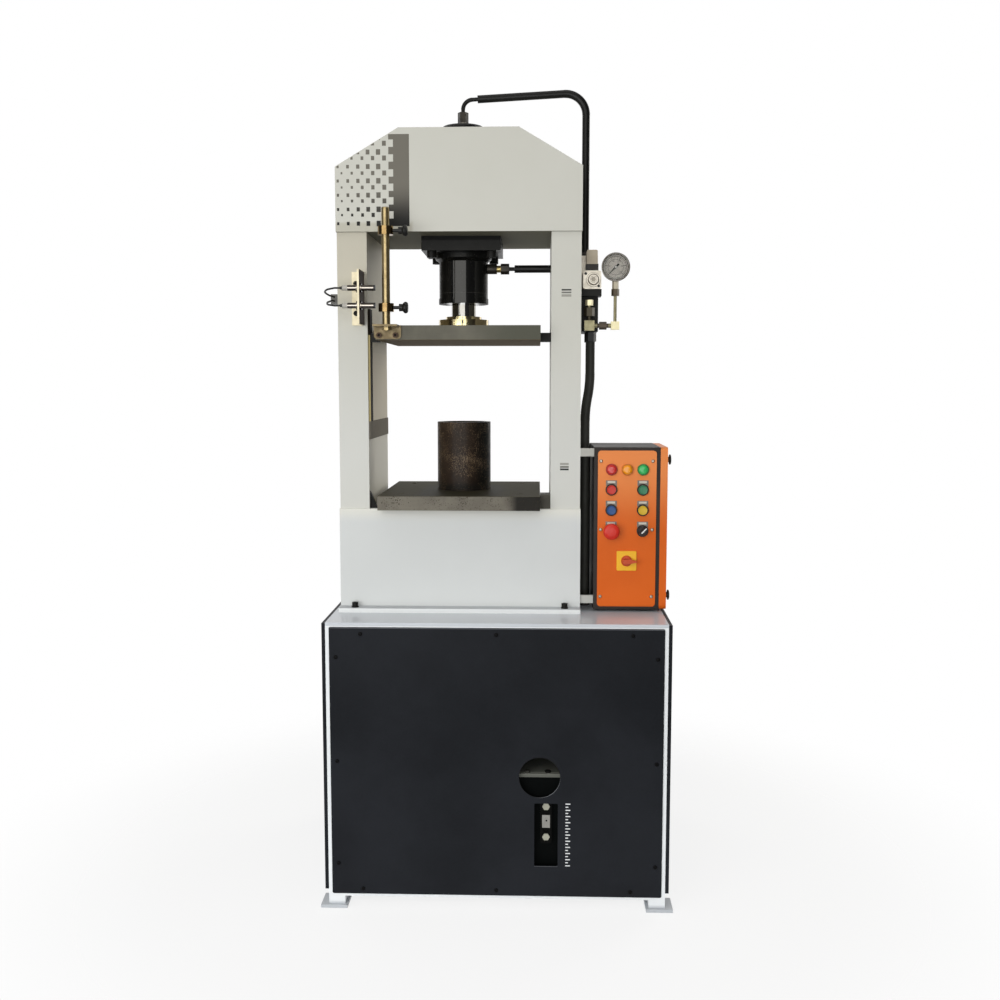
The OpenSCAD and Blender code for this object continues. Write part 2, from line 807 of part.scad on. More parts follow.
// Hexagonal box crosshead, bored for the cylinder
module crosshead() {
    slope = atan2(head_slope, outer_x - head_top_w / 2);
    shoulder = head_top - head_slope;
    in_x = outer_x - plate_t;
    in_shoulder = shoulder - plate_t * (1 - sin(slope)) / cos(slope);
    in_top = head_top_w / 2 - plate_t * (1 - cos(slope)) / sin(slope);
    color("#d3d1c5") translate([ram_x, 0, 0]) difference() {
        upright(frame_y, frame_d)
            polygon([[-outer_x, head_z], [outer_x, head_z], [outer_x, shoulder],
                [head_top_w / 2, head_top], [-head_top_w / 2, head_top], [-outer_x, shoulder]]);
        upright(frame_y - plate_t, frame_d - 2 * plate_t)
            polygon([[-in_x, head_z + head_floor], [in_x, head_z + head_floor], [in_x, in_shoulder],
                [in_top, head_top - plate_t], [-in_top, head_top - plate_t], [-in_x, in_shoulder]]);
        bar_z(barrel_d + 2 * pass_gap, head_z - eps, head_z + head_floor + eps);
        bar_z(cap_d + 2 * pass_gap, head_top - plate_t - eps, head_top + eps);
        mount_bolt_places() bar_z(mount_bolt + 2 * pass_gap, head_z - eps, head_z + head_floor + eps);
    }
}

module mount_bolt_places() {
    for (x = [-1, 1], y = [-1, 1])
        translate([x * mount_pitch, y * mount_pitch, 0]) children();
}

// Hexagon bolts of the base, socket bolts of the cylinder and of the sensor angle
module frame_bolts() {
    seat_z = cabinet_h + flange_t;
    washer_t = 2.5;
    color("#232325") {
        base_bolt_places() difference() {
            union() {
                bar_z(1.5 * bolt_d, seat_z + washer_t, seat_z + washer_t + bolt_d);
                bar_z(1.8 * bolt_d, seat_z, seat_z + washer_t);
                bar_z(bolt_d, top_z - tube_wall - 4, seat_z);
            }
            hex_z(0.8 * bolt_d, seat_z + washer_t + bolt_d / 2, seat_z + washer_t + bolt_d + eps);
        }
        translate([ram_x, 0, 0]) mount_bolt_places() difference() {
            union() {
                bar_z(1.5 * mount_bolt, head_z - mount_t - mount_bolt, head_z - mount_t);
                bar_z(mount_bolt, head_z - mount_t, head_z + head_floor);
            }
            hex_z(0.85 * mount_bolt, head_z - mount_t - mount_bolt - eps, head_z - mount_t - mount_bolt / 2);
        }
        for (z = [-1, 1])
            translate([angle_x - angle_w / 2 - 4, 0, angle_z + z * angle_screw_z]) difference() {
                union() {
                    bar_y(13, -column_y - angle_t - 8, -column_y - angle_t);
                    bar_y(8, -column_y - angle_t, -column_y + column_wall);
                }
                hex_y(6, -column_y - angle_t - 8 - eps, -column_y - angle_t - 4);
            }
    }
}

// Bed, platen and guides

module tool_holes(z0, z1) {
    for (x = [-1, 1], y = [-1, 1])
        translate([x * hole_pitch / 2, y * hole_pitch / 2, 0]) bar_z(tap_d, z0, z1);
}

module bed_plate() {
    color("#6f7066") translate([ram_x, 0, 0]) difference() {
        block([-table_x, -table_y, base_z], [table_x, table_y, bed_z]);
        tool_holes(base_z - eps, bed_z + eps);
    }
}

// Left gusset and right stop block that hold the bed between the columns
module bed_blocks() {
    gusset_w = 18;
    gusset_h = 43;
    block_d = 60;
    color("#3a3a36") translate([ram_x, 0, base_z]) {
        upright(-column_y + 24, 14)
            polygon([[-inner_x, 0], [-inner_x + gusset_w, 0], [-inner_x, gusset_h]]);
        block([table_x + slide_gap, -column_y + 10, 0], [inner_x, -column_y + 10 + block_d, bed_t]);
    }
}

module support_sleeve() {
    color("#4d4c48") translate([ram_x, 0, 0]) difference() {
        bar_z(sleeve_d, bed_z, bed_z + sleeve_h);
        bar_z(sleeve_bore, bed_z - eps, bed_z + sleeve_h + eps);
    }
}

// Guide rail on the left column's inner face, with a stop bar across that face under it
module guide_rail() {
    color("#b08d3c") translate([ram_x - inner_x, 0, 0]) {
        block([0, rail_y, rail_foot], [rail_t, rail_y + rail_d, rail_top]);
        block([0, rail_y, rail_foot - stop_h], [stop_t, -rail_y, rail_foot]);
    }
}

module platen() {
    color("#7b7a70") translate([ram_x, 0, 0]) difference() {
        block([-table_x, -table_y, platen_z], [table_x, table_y, ram_z]);
        tool_holes(platen_z - eps, ram_z - platen_t / 3);
    }
}

// Guide shoes on the platen's sides, one on the rail and one on the right column
module guide_shoes() {
    shoe_y = rail_y + (rail_d - shoe_d) / 2;
    shoe_z = platen_z - shoe_drop;
    reach = inner_x - slide_gap;
    color("#1d1d1d") translate([ram_x, shoe_y, shoe_z]) {
        block([rail_t - reach, 0, 0], [-table_x, shoe_d, shoe_h]);
        block([table_x, 0, 0], [reach, shoe_d, shoe_h]);
    }
}

// Cylinder and ram

// Barrel with its welded mounting flange, shoulder and domed cap
module cylinder_barrel() {
    shoulder_d = barrel_d + 21;
    shoulder_h = 13;
    flange_z = head_z - mount_t;
    color("#1a1a1a") translate([ram_x, 0, 0]) difference() {
        union() {
            bar_z(barrel_d, barrel_z + gland_ring, barrel_top);
            bar_z(cap_d, barrel_top, head_top + cap_rise - 6);
            translate([0, 0, head_top + cap_rise - 6]) cylinder(d1 = cap_d, d2 = cap_d - 16, h = 6);
            block([-mount_s / 2, -mount_s / 2, flange_z], [mount_s / 2, mount_s / 2, head_z]);
            bar_z(shoulder_d, flange_z - shoulder_h, flange_z);
            translate([0, 0, flange_z - shoulder_h - 8])
                cylinder(d1 = barrel_d, d2 = shoulder_d, h = 8);
        }
        bar_z(barrel_bore, barrel_z, bore_top);
        bar_z(port_d, bore_top - eps, head_top + cap_rise + eps);
        translate([0, pipe_y, port_z]) bar_x(port_d, 0, barrel_d);
        mount_bolt_places() bar_z(mount_bolt + 2 * pass_gap, flange_z - eps, head_z + eps);
    }
}

// Gland: a ring below the barrel and a spigot that guides the rod
module cylinder_gland() {
    color("#202020") translate([ram_x, 0, barrel_z]) difference() {
        union() {
            bar_z(barrel_d + 3, 0, gland_ring);
            bar_z(barrel_bore - 2 * run_gap, gland_ring, gland_ring + gland_depth);
        }
        bar_z(rod_d + 2 * run_gap, -eps, gland_ring + gland_depth + eps);
    }
}

module piston() {
    groove = 6;
    color("#8a8c8e") translate([ram_x, 0, piston_top - piston_h]) difference() {
        bar_z(barrel_bore - 2 * run_gap, 0, piston_h);
        bar_z(spigot_d + 2 * run_gap, -eps, piston_h + eps);
        for (z = [piston_h / 3, 2 * piston_h / 3]) translate([0, 0, z - groove / 2]) difference() {
            bar_z(barrel_bore + eps, 0, groove);
            bar_z(barrel_bore - 10, -eps, groove + eps);
        }
    }
}

// Rod with a foot and neck for the split flange, and a spigot through the piston
module piston_rod() {
    neck_z = ram_z + clamp_foot;
    color("lightgray") translate([ram_x, 0, 0]) {
        bar_z(rod_d, ram_z, neck_z);
        bar_z(neck_d, neck_z, neck_z + clamp_neck);
        bar_z(rod_d, neck_z + clamp_neck, piston_top - piston_h);
        bar_z(spigot_d, piston_top - piston_h, piston_top);
    }
}

// Split flange: two halves whose lip sits in the rod's neck
module rod_clamp() {
    top = clamp_t + clamp_ring_h;
    color("#c8a951") translate([ram_x, 0, ram_z]) difference() {
        union() {
            bar_z(clamp_d, 0, clamp_t);
            bar_z(clamp_ring_d, clamp_t, top);
        }
        bar_z(rod_d + 2 * pass_gap, -eps, clamp_foot + pass_gap);
        bar_z(neck_d + 2 * pass_gap, 0, top);
        bar_z(rod_d + 2 * pass_gap, clamp_foot + clamp_neck - pass_gap, top + eps);
        block([-clamp_split / 2, -clamp_d, -eps], [clamp_split / 2, clamp_d, top + eps]);
    }
}

// Trip gear

// Bent plate on the platen's front with two socket screws
module trip_bracket() {
    screw_x = 20;
    screw_z = platen_z + 11;
    color("#c8a951") translate([rod_x0, 0, 0]) difference() {
        union() {
            upright(-table_y, trip_plate)
                difference() {
                    rounded_rect([-trip_half, platen_z + 2], [trip_half, ram_z + 8], 8);
                    translate([-trip_half, ram_z]) square([2 * trip_half, 9]);
                }
            block([-trip_shelf, -table_y - trip_reach, ram_z - trip_plate],
                [trip_shelf, -table_y, ram_z]);
            for (x = [-screw_x, screw_x]) translate([x, 0, screw_z])
                bar_y(13, -table_y - trip_plate - 8, -table_y - trip_plate);
        }
        for (x = [-screw_x, screw_x]) translate([x, 0, screw_z])
            hex_y(6, -table_y - trip_plate - 9, -table_y - trip_plate - 3);
        translate([0, rod_y0, 0]) bar_z(10 + 2 * pass_gap, ram_z - trip_plate - eps, ram_z + eps);
    }
}

// Rod with a threaded end and its nut below the shelf
module trip_rod() {
    color("#d2b55b") translate([rod_x0, rod_y0, ram_z]) {
        bar_z(trip_d, 0, trip_l - 2);
        translate([0, 0, trip_l - 2]) cylinder(d1 = trip_d, d2 = trip_d - 4, h = 2);
        bar_z(10, -trip_plate - 9, 0);
        hex_z(17, -trip_plate - 8, -trip_plate);
    }
}

module trip_collar(z) {
    color("#6d5526") translate([rod_x0, rod_y0, ram_z + z]) difference() {
        bar_z(collar_d, -collar_h / 2, collar_h / 2);
        bar_z(trip_d + 2 * run_gap, -collar_h, collar_h);
        bar_x(thumb_d + 2 * run_gap, 0, collar_d);
    }
}

module lower_collar() {
    trip_collar(lower_collar_z);
}

module upper_collar() {
    trip_collar(upper_collar_z);
}

// Thumb screw with a mushroom knob, seated in the collar's side
module collar_knob(z) {
    start = trip_d / 2 + slide_gap;
    neck = collar_d / 2 + 13;
    color("#161616") translate([rod_x0, rod_y0, ram_z + z])
        turned_x([[start, 0], [start, thumb_d / 2], [neck, thumb_d / 2], [neck, 9], [neck + 8, 8.5],
            [neck + 12, 13], [neck + 15, 14], [neck + 19, 13], [neck + 21, 10], [neck + 22, 0]]);
}

module lower_collar_knob() {
    collar_knob(lower_collar_z);
}

module upper_collar_knob() {
    collar_knob(upper_collar_z);
}

// Angle on the left column that carries the two sensors
module sensor_bracket() {
    color("#c8a951") difference() {
        union() {
            block([angle_x - angle_w, -column_y - angle_t, angle_z - angle_half],
                [angle_x, -column_y, angle_z + angle_half]);
            block([angle_x - angle_t, rod_y0 - 14, angle_z - angle_half],
                [angle_x, -column_y, angle_z + angle_half]);
        }
        for (z = sensor_z) translate([0, rod_y0, z])
            bar_x(sensor_d + 2 * pass_gap, angle_x - angle_w, angle_x + eps);
        for (z = [-1, 1])
            translate([angle_x - angle_w / 2 - 4, 0, angle_z + z * angle_screw_z])
                bar_y(8 + 2 * pass_gap, -column_y - angle_t - eps, -column_y + eps);
    }
}

// Two round sensors, each with a plastic end and a nut on either side of the angle
module limit_sensors() {
    nut = 19;
    nut_t = 4;
    color("#3a3a3c") for (z = sensor_z) translate([0, rod_y0, z]) {
        bar_x(sensor_d, sensor_tip - sensor_l + 20, sensor_tip);
        bar_x(sensor_d - 1, sensor_tip - sensor_l + 6, sensor_tip - sensor_l + 20);
        bar_x(sensor_d / 2, sensor_tip - sensor_l, sensor_tip - sensor_l + 6);
        hex_x(nut, angle_x, angle_x + nut_t);
        hex_x(nut, angle_x - angle_t - nut_t, angle_x - angle_t);
    }
}

module upper_sensor_cable() {
    color("#141414") lead(upper_lead, lead_d);
}

module lower_sensor_cable() {
    color("#141414") lead(lower_lead, lead_d);
}

// Small block on the column's side that takes both sensor leads
module cable_block() {
    column_left = ram_x - outer_x + column_trim;
    block_top = lead_end[2] + block_over;
    color("#9a9a98") block([column_left - block_w, lead_end[1], block_top - block_h],
        [column_left, lead_end[1] + block_d, block_top]);
}

// Valve and gauge

module manifold_block() {
    step_in = 3;
    step_out = 7;
    socket_deep = 20;
    color("#171717") difference() {
        union() {
            block([side_x, manifold_y, manifold_z], [side_x + manifold_w, valve_back, manifold_top]);
            block([side_x, coil_y + step_in, manifold_top - 1],
                [side_x + manifold_w + step_out, coil_back, coil_z]);
        }
        hose_places() bar_z(stub_d, manifold_z - eps, manifold_z + socket_deep);
    }
}

// Valve body behind, and the square coil with its round boss in front
module solenoid_valve() {
    coil_mid = coil_z + coil_s / 2;
    coil_r = 5;
    socket_deep = 20;
    hole_d = 7;
    hole_deep = 6;
    hole_at = [16, 15];
    boss_out = 3;
    boss_t = 10;
    boss_af = 11;
    boss_deep = 5;
    color("#a9abaa") {
        difference() {
            block([side_x, coil_back, coil_z], [side_x + manifold_w, valve_back, valve_top]);
            translate([drop_x, pipe_y, 0]) bar_z(port_d, valve_top - socket_deep, valve_top + eps);
        }
        difference() {
            upright(coil_back, coil_back - coil_y) translate([coil_x, coil_mid])
                rounded_rect([-coil_s / 2, -coil_s / 2], [coil_s / 2, coil_s / 2], coil_r);
            for (s = [-1, 1]) translate([coil_x - s * hole_at[0], 0, coil_mid + s * hole_at[1]])
                bar_y(hole_d, coil_y - eps, coil_y + hole_deep);
        }
        translate([coil_x + boss_out, coil_y, coil_mid]) difference() {
            turned_front([[0, 0], [0, 17], [3, 17], [3, 13], [boss_t - 1, 12], [boss_t, 11], [boss_t, 0]]);
            hex_y(boss_af, -boss_t - eps, -boss_deep);
        }
        block([side_x, coil_back, manifold_top], [side_x + manifold_w, valve_back, coil_z]);
    }
}

// Connector on top of the coil, with a rounded cap
module valve_plug() {
    foot_z = coil_z + coil_s;
    foot_h = 17;
    foot_over = [1, 2];
    plug_in = 6;
    plug_r = 4;
    color("#8f8a80") {
        block([coil_x - plug_w / 2 - foot_over[0], coil_y + plug_in, foot_z],
            [coil_x + plug_w / 2 + foot_over[1], coil_back - plug_in, foot_z + foot_h]);
        upright(coil_back - plug_in, coil_back - coil_y - 2 * plug_in) translate([coil_x, foot_z])
            rounded_rect([-plug_w / 2, foot_h - plug_r], [plug_w / 2, plug_h], plug_r);
    }
}

// Elbows, nipple, tube and nut from the manifold up to the gauge, and a test point over the first elbow
module gauge_pipework() {
    far_s = 20;
    point_z = [11, 32, 37, 51];
    point_af = [23, 17];
    point_d = [10, 8];
    nipple_d = 11;
    nipple_in = [12, 11];
    riser_d = 8;
    cone_h = [17, 18];
    small_af = 17;
    stem_af = 14;
    tube_top = dial_z - dial_d / 2 - cone_h[0] - cone_h[1];
    color("#b5974a") {
        block([elbow_x - elbow_s / 2, coil_y, elbow_z - elbow_s / 2],
            [elbow_x + elbow_s / 2, manifold_y, elbow_z + elbow_s / 2]);
        translate([0, stem_y, elbow_z]) {
            bar_x(nipple_d, elbow_x + elbow_s / 2, dial_x - far_s / 2);
            hex_x(small_af, elbow_x + elbow_s / 2 + nipple_in[0], dial_x - far_s / 2 - nipple_in[1]);
        }
        translate([elbow_x, stem_y, elbow_z + elbow_s / 2]) {
            bar_z(point_d[0], 0, point_z[0]);
            hex_z(point_af[0], point_z[0], point_z[1]);
            bar_z(point_d[1], point_z[1], point_z[2]);
            hex_z(point_af[1], point_z[2], point_z[3]);
        }
        translate([dial_x, stem_y, 0]) {
            block([-far_s / 2, -far_s / 2, elbow_z - far_s / 2], [far_s / 2, far_s / 2, elbow_z + far_s / 2]);
            bar_z(riser_d, elbow_z + far_s / 2, tube_top);
            hex_z(small_af, tube_top, tube_top + cone_h[0]);
            hex_z(stem_af, tube_top + cone_h[0], dial_z - dial_d / 2);
        }
    }
}

// Round case with a rolled rim, sunk dial and bottom connection
module gauge_case() {
    r = dial_d / 2;
    color("silver") translate([dial_x, coil_y, dial_z]) difference() {
        union() {
            translate([0, dial_t, 0])
                turned_front([[0, 0], [0, r - 4], [2, r - 2], [dial_t - 5, r - 2], [dial_t - 4, r],
                    [dial_t - 1, r], [dial_t, r - 1.5], [dial_t, r - 4], [dial_t - 6, r - 4.5],
                    [dial_t - 6, 0]]);
            translate([0, stem_y - coil_y, 0]) hex_z(14, -r, -r + 5);
        }
        bar_y(3 + 2 * run_gap, 0, 12);
    }
}

// Pointer on its arbor, at zero
module gauge_needle() {
    zero = 225;
    color("#141414") translate([dial_x, coil_y, dial_z]) {
        bar_y(3, 3, 11);
        rotate([0, -zero, 0]) upright(4, 1)
            polygon([[-9, -1.6], [-9, 1.6], [0, 2.2], [24, 0.5], [24, -0.5], [0, -2.2]]);
        bar_y(7, 2.6, 4.4);
    }
}

// Pipes

// Length of the top pipe's sloping run, and of its drop to the valve
cap_top = head_top + cap_rise;
pipe_z = cap_top + adaptor_h + nut_h;
run_across = drop_x - ram_x - bend_r1 * (1 - sin(pipe_slope)) - bend_r2 * (1 + sin(pipe_slope));
run_l = run_across / cos(pipe_slope);
run_rise = run_l * sin(pipe_slope) + (bend_r1 - bend_r2) * cos(pipe_slope);
valve_nut_h = 18;
drop_l = pipe_z + pipe_lift + run_rise - valve_top - valve_nut_h;

// Bend from upward towards the right through angle a, with what follows it along the new direction
module turn(r, d, a) {
    translate([r, 0, 0]) {
        bend(r, d, 180 - a, 180);
        rotate([0, a, 0]) translate([-r, 0, 0]) children();
    }
}

module top_pipe() {
    color("#161616") translate([ram_x, pipe_y, pipe_z]) {
        bar_z(tube_d, 0, pipe_lift + bend_lap);
        translate([0, 0, pipe_lift]) turn(bend_r1, tube_d + bend_swell, 90 - pipe_slope) {
            bar_z(tube_d, -bend_lap, sleeve_start + bend_lap);
            bar_z(pipe_d, sleeve_start, run_l + bend_lap);
            translate([0, 0, run_l]) turn(bend_r2, pipe_d + bend_swell, 90 + pipe_slope)
                bar_z(pipe_d, -bend_lap, drop_l);
        }
    }
}

// Straight pipe from the barrel's side port through the right column to the valve
port_x = ram_x + barrel_d / 2;
side_fit = [24, 10, 22];
side_l = side_fit[0] + side_fit[1] + side_fit[2];

module side_pipe() {
    color("#161616") translate([0, pipe_y, port_z]) {
        bar_x(tube_d, port_x + side_l + 1, port_x + side_l + sleeve_start);
        bar_x(pipe_d, port_x + side_l + sleeve_start, side_x);
    }
}

// Adaptors and nuts of both pipes, and the hoses' end fittings
module pipe_fittings() {
    boss_d = 26;
    seat = 4;
    color("#57544c") {
        translate([ram_x, pipe_y, cap_top]) {
            bar_z(boss_d, 0, adaptor_h);
            hex_z(nut_af, adaptor_h, adaptor_h + nut_h);
        }
        translate([drop_x, pipe_y, valve_top]) hex_z(nut_af, 0, valve_nut_h);
        translate([port_x, pipe_y, port_z]) {
            difference() {
                bar_x(boss_d, -seat, side_fit[0]);
                translate([-port_x + ram_x, 0, 0]) bar_z(barrel_d, -boss_d, boss_d);
            }
            bar_x(boss_d - 8, side_fit[0], side_fit[0] + side_fit[1]);
            hex_x(nut_af, side_fit[0] + side_fit[1], side_l);
            bar_x(tube_d + 2, side_l, side_l + 1);
        }
        hose_places() {
            bar_z(stub_d - 2 * pass_gap, manifold_z, manifold_z + 18);
            hex_z(nut_af, manifold_z - hose_nut, manifold_z);
        }
        hose_places(hose_shift) {
            hex_z(nut_af, cabinet_h, cabinet_h + hose_nut);
            bar_z(stub_d, top_z - 16, cabinet_h);
        }
    }
}

// Two hoses from the manifold to the cabinet, each set over towards the column on its way down
module supply_hoses() {
    low = cabinet_h + hose_nut + slide_gap;
    high = manifold_z - hose_nut - slide_gap;
    foot_l = high - low - hose_lead - 2 * hose_r * sin(hose_turn) - hose_mid * cos(hose_turn);
    color("#141414") hose_places(hose_shift) translate([0, 0, low]) {
        bar_z(hose_d, 0, foot_l + bend_lap);
        translate([0, 0, foot_l]) turn(hose_r, hose_d + bend_swell, hose_turn) {
            bar_z(hose_d, -bend_lap, hose_mid + bend_lap);
            translate([0, 0, hose_mid]) rotate([0, 0, 180])
                turn(hose_r, hose_d + bend_swell, hose_turn)
                    bar_z(hose_d, -bend_lap, hose_lead);
        }
    }
}

// Control box

// Outline of the box's side with round corners, in Y and Z
module side_outline(inset, r) {
    rounded_rect([box_y + inset, box_z + inset], [box_y + box_d - inset, box_z + box_h - inset], r);
}

module latch_places() {
    for (z = latch_z) translate([0, box_y + latch_inset, box_z + z]) children();
}

// Fixed or moving half of a hinge; level is the knuckle's lower end
module hinge_places() {
    for (z = [hinge_inset, box_h - hinge_inset]) translate([hinge_x, hinge_y, box_z + z]) children();
}

// Folded box, open on the right behind a rim, with the hinges' pins
module control_box() {
    leaf = 8;
    color("#1b1b1d") {
        difference() {
            block([box_x, box_y, box_z], [box_right, box_y + box_d, box_z + box_h]);
            block([box_x + box_t, box_y + box_t, box_z + box_t],
                [box_right - box_t, box_y + box_d - box_t, box_z + box_h - box_t]);
            sideways(box_right - 2 * box_t, 3 * box_t) side_outline(rim_w, 6);
            latch_places() bar_x(latch_d + 2, box_right - 2 * box_t, box_right + eps);
            switch_holes() bar_y(switch_d + 2 * pass_gap, box_y - eps, box_y + box_t + eps);
            isolator_place() bar_y(12, box_y - eps, box_y + box_t + eps);
        }
        hinge_places() {
            bar_z(knuckle_d, -knuckle_h, 0);
            bar_z(hinge_pin_d, 0, knuckle_h - 1);
            block([-leaf, box_y + box_d - hinge_y, -knuckle_h], [-door_gap / 2, 0, 0]);
        }
    }
}

// Door pan with round corners and the hinges' sleeves
module box_door() {
    skin = 2;
    leaf = 8;
    color("#ee6a1f") difference() {
        union() {
            difference() {
                sideways(door_x, door_t) side_outline(0, door_r);
                sideways(door_x - eps, door_t + eps - skin) side_outline(skin, door_r - skin);
            }
            hinge_places() {
                bar_z(knuckle_d, slide_gap, knuckle_h);
                block([door_gap / 2, box_y + box_d - skin - hinge_y, slide_gap], [leaf, 0, knuckle_h]);
            }
        }
        hinge_places() bar_z(hinge_pin_d + 2 * run_gap, -eps, knuckle_h + eps);
        latch_places() bar_x(latch_d + 2 * run_gap, door_x, door_x + door_t + eps);
    }
}

// Screw knob through the door, reaching into the box's rim
module door_knob(z) {
    face = door_x + door_t + slide_gap;
    color("#151515") translate([0, box_y + latch_inset, box_z + z])
        turned_x([[box_right - 8, 0], [box_right - 8, latch_d / 2], [face, latch_d / 2], [face, 7],
            [face + 3, 7], [face + 4, 12], [face + 6, 13], [face + 8, 12], [face + 9, 8], [face + 9, 0]]);
}

module lower_door_knob() {
    door_knob(latch_z[0]);
}

module upper_door_knob() {
    door_knob(latch_z[1]);
}

module switch_holes() {
    for (p = switch_places) translate([switch_x + p[0], 0, box_z + p[1]]) children();
}

module isolator_place() {
    translate([switch_x, 0, box_z + isolator_z]) children();
}

module control_plate() {
    color("#f0702a") difference() {
        upright(box_y, control_t)
            rounded_rect([box_x + plate_side, box_z + plate_end],
                [box_right - plate_side, box_z + box_h - plate_end], 8);
        switch_holes() bar_y(switch_d + 2 * pass_gap, face_y - eps, box_y + eps);
        isolator_place() bar_y(12, face_y - eps, box_y + eps);
    }
}

// Rings and barrels of the lamps and buttons, and the isolator's square plate
module switch_bezels() {
    color("#2c2c2e") switch_holes() translate([0, face_y, 0]) {
        turned_front([[-barrel_len, barrel_bore_d / 2], [-barrel_len, switch_d / 2], [0, switch_d / 2],
            [0, bezel_d / 2], [bezel_h - 1.5, bezel_d / 2], [bezel_h, bezel_d / 2 - 1.5],
            [bezel_h, bezel_bore / 2], [web_t, bezel_bore / 2], [web_t, barrel_bore_d / 2]]);
    }
    color("#e8c21e") isolator_place() difference() {
        upright(face_y, 4) translate([-isolator_s / 2, -isolator_s / 2])
            rounded_rect([0, 0], [isolator_s, isolator_s], 3);
        bar_y(10, face_y - 5, face_y + eps);
    }
}

// Three domed lenses, red, amber and green
module pilot_lamps() {
    r = bezel_bore / 2 - 0.2;
    lens = ["#c8202a", "#e08a1a", "#1f8f3c"];
    for (k = [0:2]) color(lens[k])
        translate([switch_x + lamp_x[k], face_y, box_z + lamp_z])
            turned_front([[web_t, 0], [web_t, r], [bezel_h + 1, r], [bezel_h + 3, r - 1.5],
                [bezel_h + 4, r - 4],
                [bezel_h + 4.5, 0]]);
}

// Push button cap with its plunger
module push_button(x, z, tint) {
    r = bezel_bore / 2 - slide_gap;
    color(tint) translate([switch_x + x * switch_pitch / 2, face_y, box_z + z])
        turned_front([[-barrel_len + 6, 0], [-barrel_len + 6, barrel_bore_d / 2 - 0.1],
            [cap_seat, barrel_bore_d / 2 - 0.1], [cap_seat, r], [bezel_h + 2, r], [bezel_h + 3, r - 1],
            [bezel_h + 2.4, r - 3], [bezel_h + 2.2, 0]]);
}

module red_button() {
    push_button(-1, upper_z, "#c4202c");
}

module green_button() {
    push_button(1, upper_z, "#1d8a3d");
}

module blue_button() {
    push_button(-1, lower_z, "#2f3d8c");
}

module yellow_button() {
    push_button(1, lower_z, "#e6b81f");
}

// Mushroom head on its plunger
module stop_button() {
    r = stop_d / 2;
    neck = bezel_bore / 2 - slide_gap;
    color("#cf1f26") translate([switch_x - switch_pitch / 2, face_y, box_z + stop_z])
        turned_front([[-barrel_len + 6, 0], [-barrel_len + 6, barrel_bore_d / 2 - 0.1],
            [bezel_h, barrel_bore_d / 2 - 0.1], [bezel_h, neck], [bezel_h + 7, neck], [bezel_h + 8, r - 2],
            [bezel_h + 10, r], [bezel_h + 16, r], [bezel_h + 19, r - 3], [bezel_h + 21, r - 9],
            [bezel_h + 21.5, 0]]);
}

// Selector with a raised grip, turned up and to the right
module selector_knob() {
    neck = bezel_bore / 2 - slide_gap;
    grip_t = 9;
    color("#1a1a1a") translate([switch_x + switch_pitch / 2, face_y, box_z + stop_z]) {
        turned_front([[-barrel_len + 6, 0], [-barrel_len + 6, barrel_bore_d / 2 - 0.1],
            [cap_seat, barrel_bore_d / 2 - 0.1], [cap_seat, neck], [bezel_h + 3, neck],
            [bezel_h + 4, neck - 1],
            [bezel_h + 4, 0]]);
        rotate([0, -45, 0]) upright(-bezel_h - 2, 14)
            rounded_rect([-neck, -grip_t / 2], [neck, grip_t / 2], 4);
    }
}

// Rotary handle of the isolator, pointing to the right
module isolator_handle() {
    hub = 13.5;
    spindle = 4.9;
    spindle_l = 20;
    plate_h = 4 + slide_gap;
    hub_h = 9;
    lever_h = 12;
    lever_l = 24;
    lever_t = 11;
    tip_t = 4;
    color("#cc2027") isolator_place() translate([0, face_y, 0]) {
        turned_front([[-spindle_l, 0], [-spindle_l, spindle], [plate_h, spindle], [plate_h, hub],
            [hub_h - 2, hub], [hub_h, hub - 2], [hub_h, 0]]);
        upright(-hub_h, lever_h) polygon([[2 - hub, -tip_t / 2], [-hub / 2, -lever_t / 2],
            [hub / 2, -lever_t / 2], [lever_l, -tip_t / 2], [lever_l, tip_t / 2], [hub / 2, lever_t / 2],
            [-hub / 2, lever_t / 2], [2 - hub, tip_t / 2]]);
    }
}

cabinet_frame();
cabinet_top();
front_panel();
cover_panels();
oil_tank();
level_gauge();
motor_body();
motor_rotor();
gear_pump();
frame_base();
left_column();
right_column();
crosshead();
frame_bolts();
bed_plate();
bed_blocks();
support_sleeve();
guide_rail();
cylinder_barrel();
cylinder_gland();
piston();
piston_rod();
rod_clamp();
platen();
guide_shoes();
trip_bracket();
trip_rod();
lower_collar();
upper_collar();
lower_collar_knob();
upper_collar_knob();
sensor_bracket();
limit_sensors();
upper_sensor_cable();
lower_sensor_cable();
cable_block();
manifold_block();
solenoid_valve();
valve_plug();
gauge_pipework();
gauge_case();
gauge_needle();
top_pipe();
side_pipe();
pipe_fittings();
supply_hoses();
control_box();
box_door();
upper_door_knob();
lower_door_knob();
control_plate();
switch_bezels();
pilot_lamps();
red_button();
green_button();
blue_button();
yellow_button();
stop_button();
selector_knob();
isolator_handle();
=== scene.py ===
import math

import bpy
import numpy as np
from mathutils import Matrix, Vector


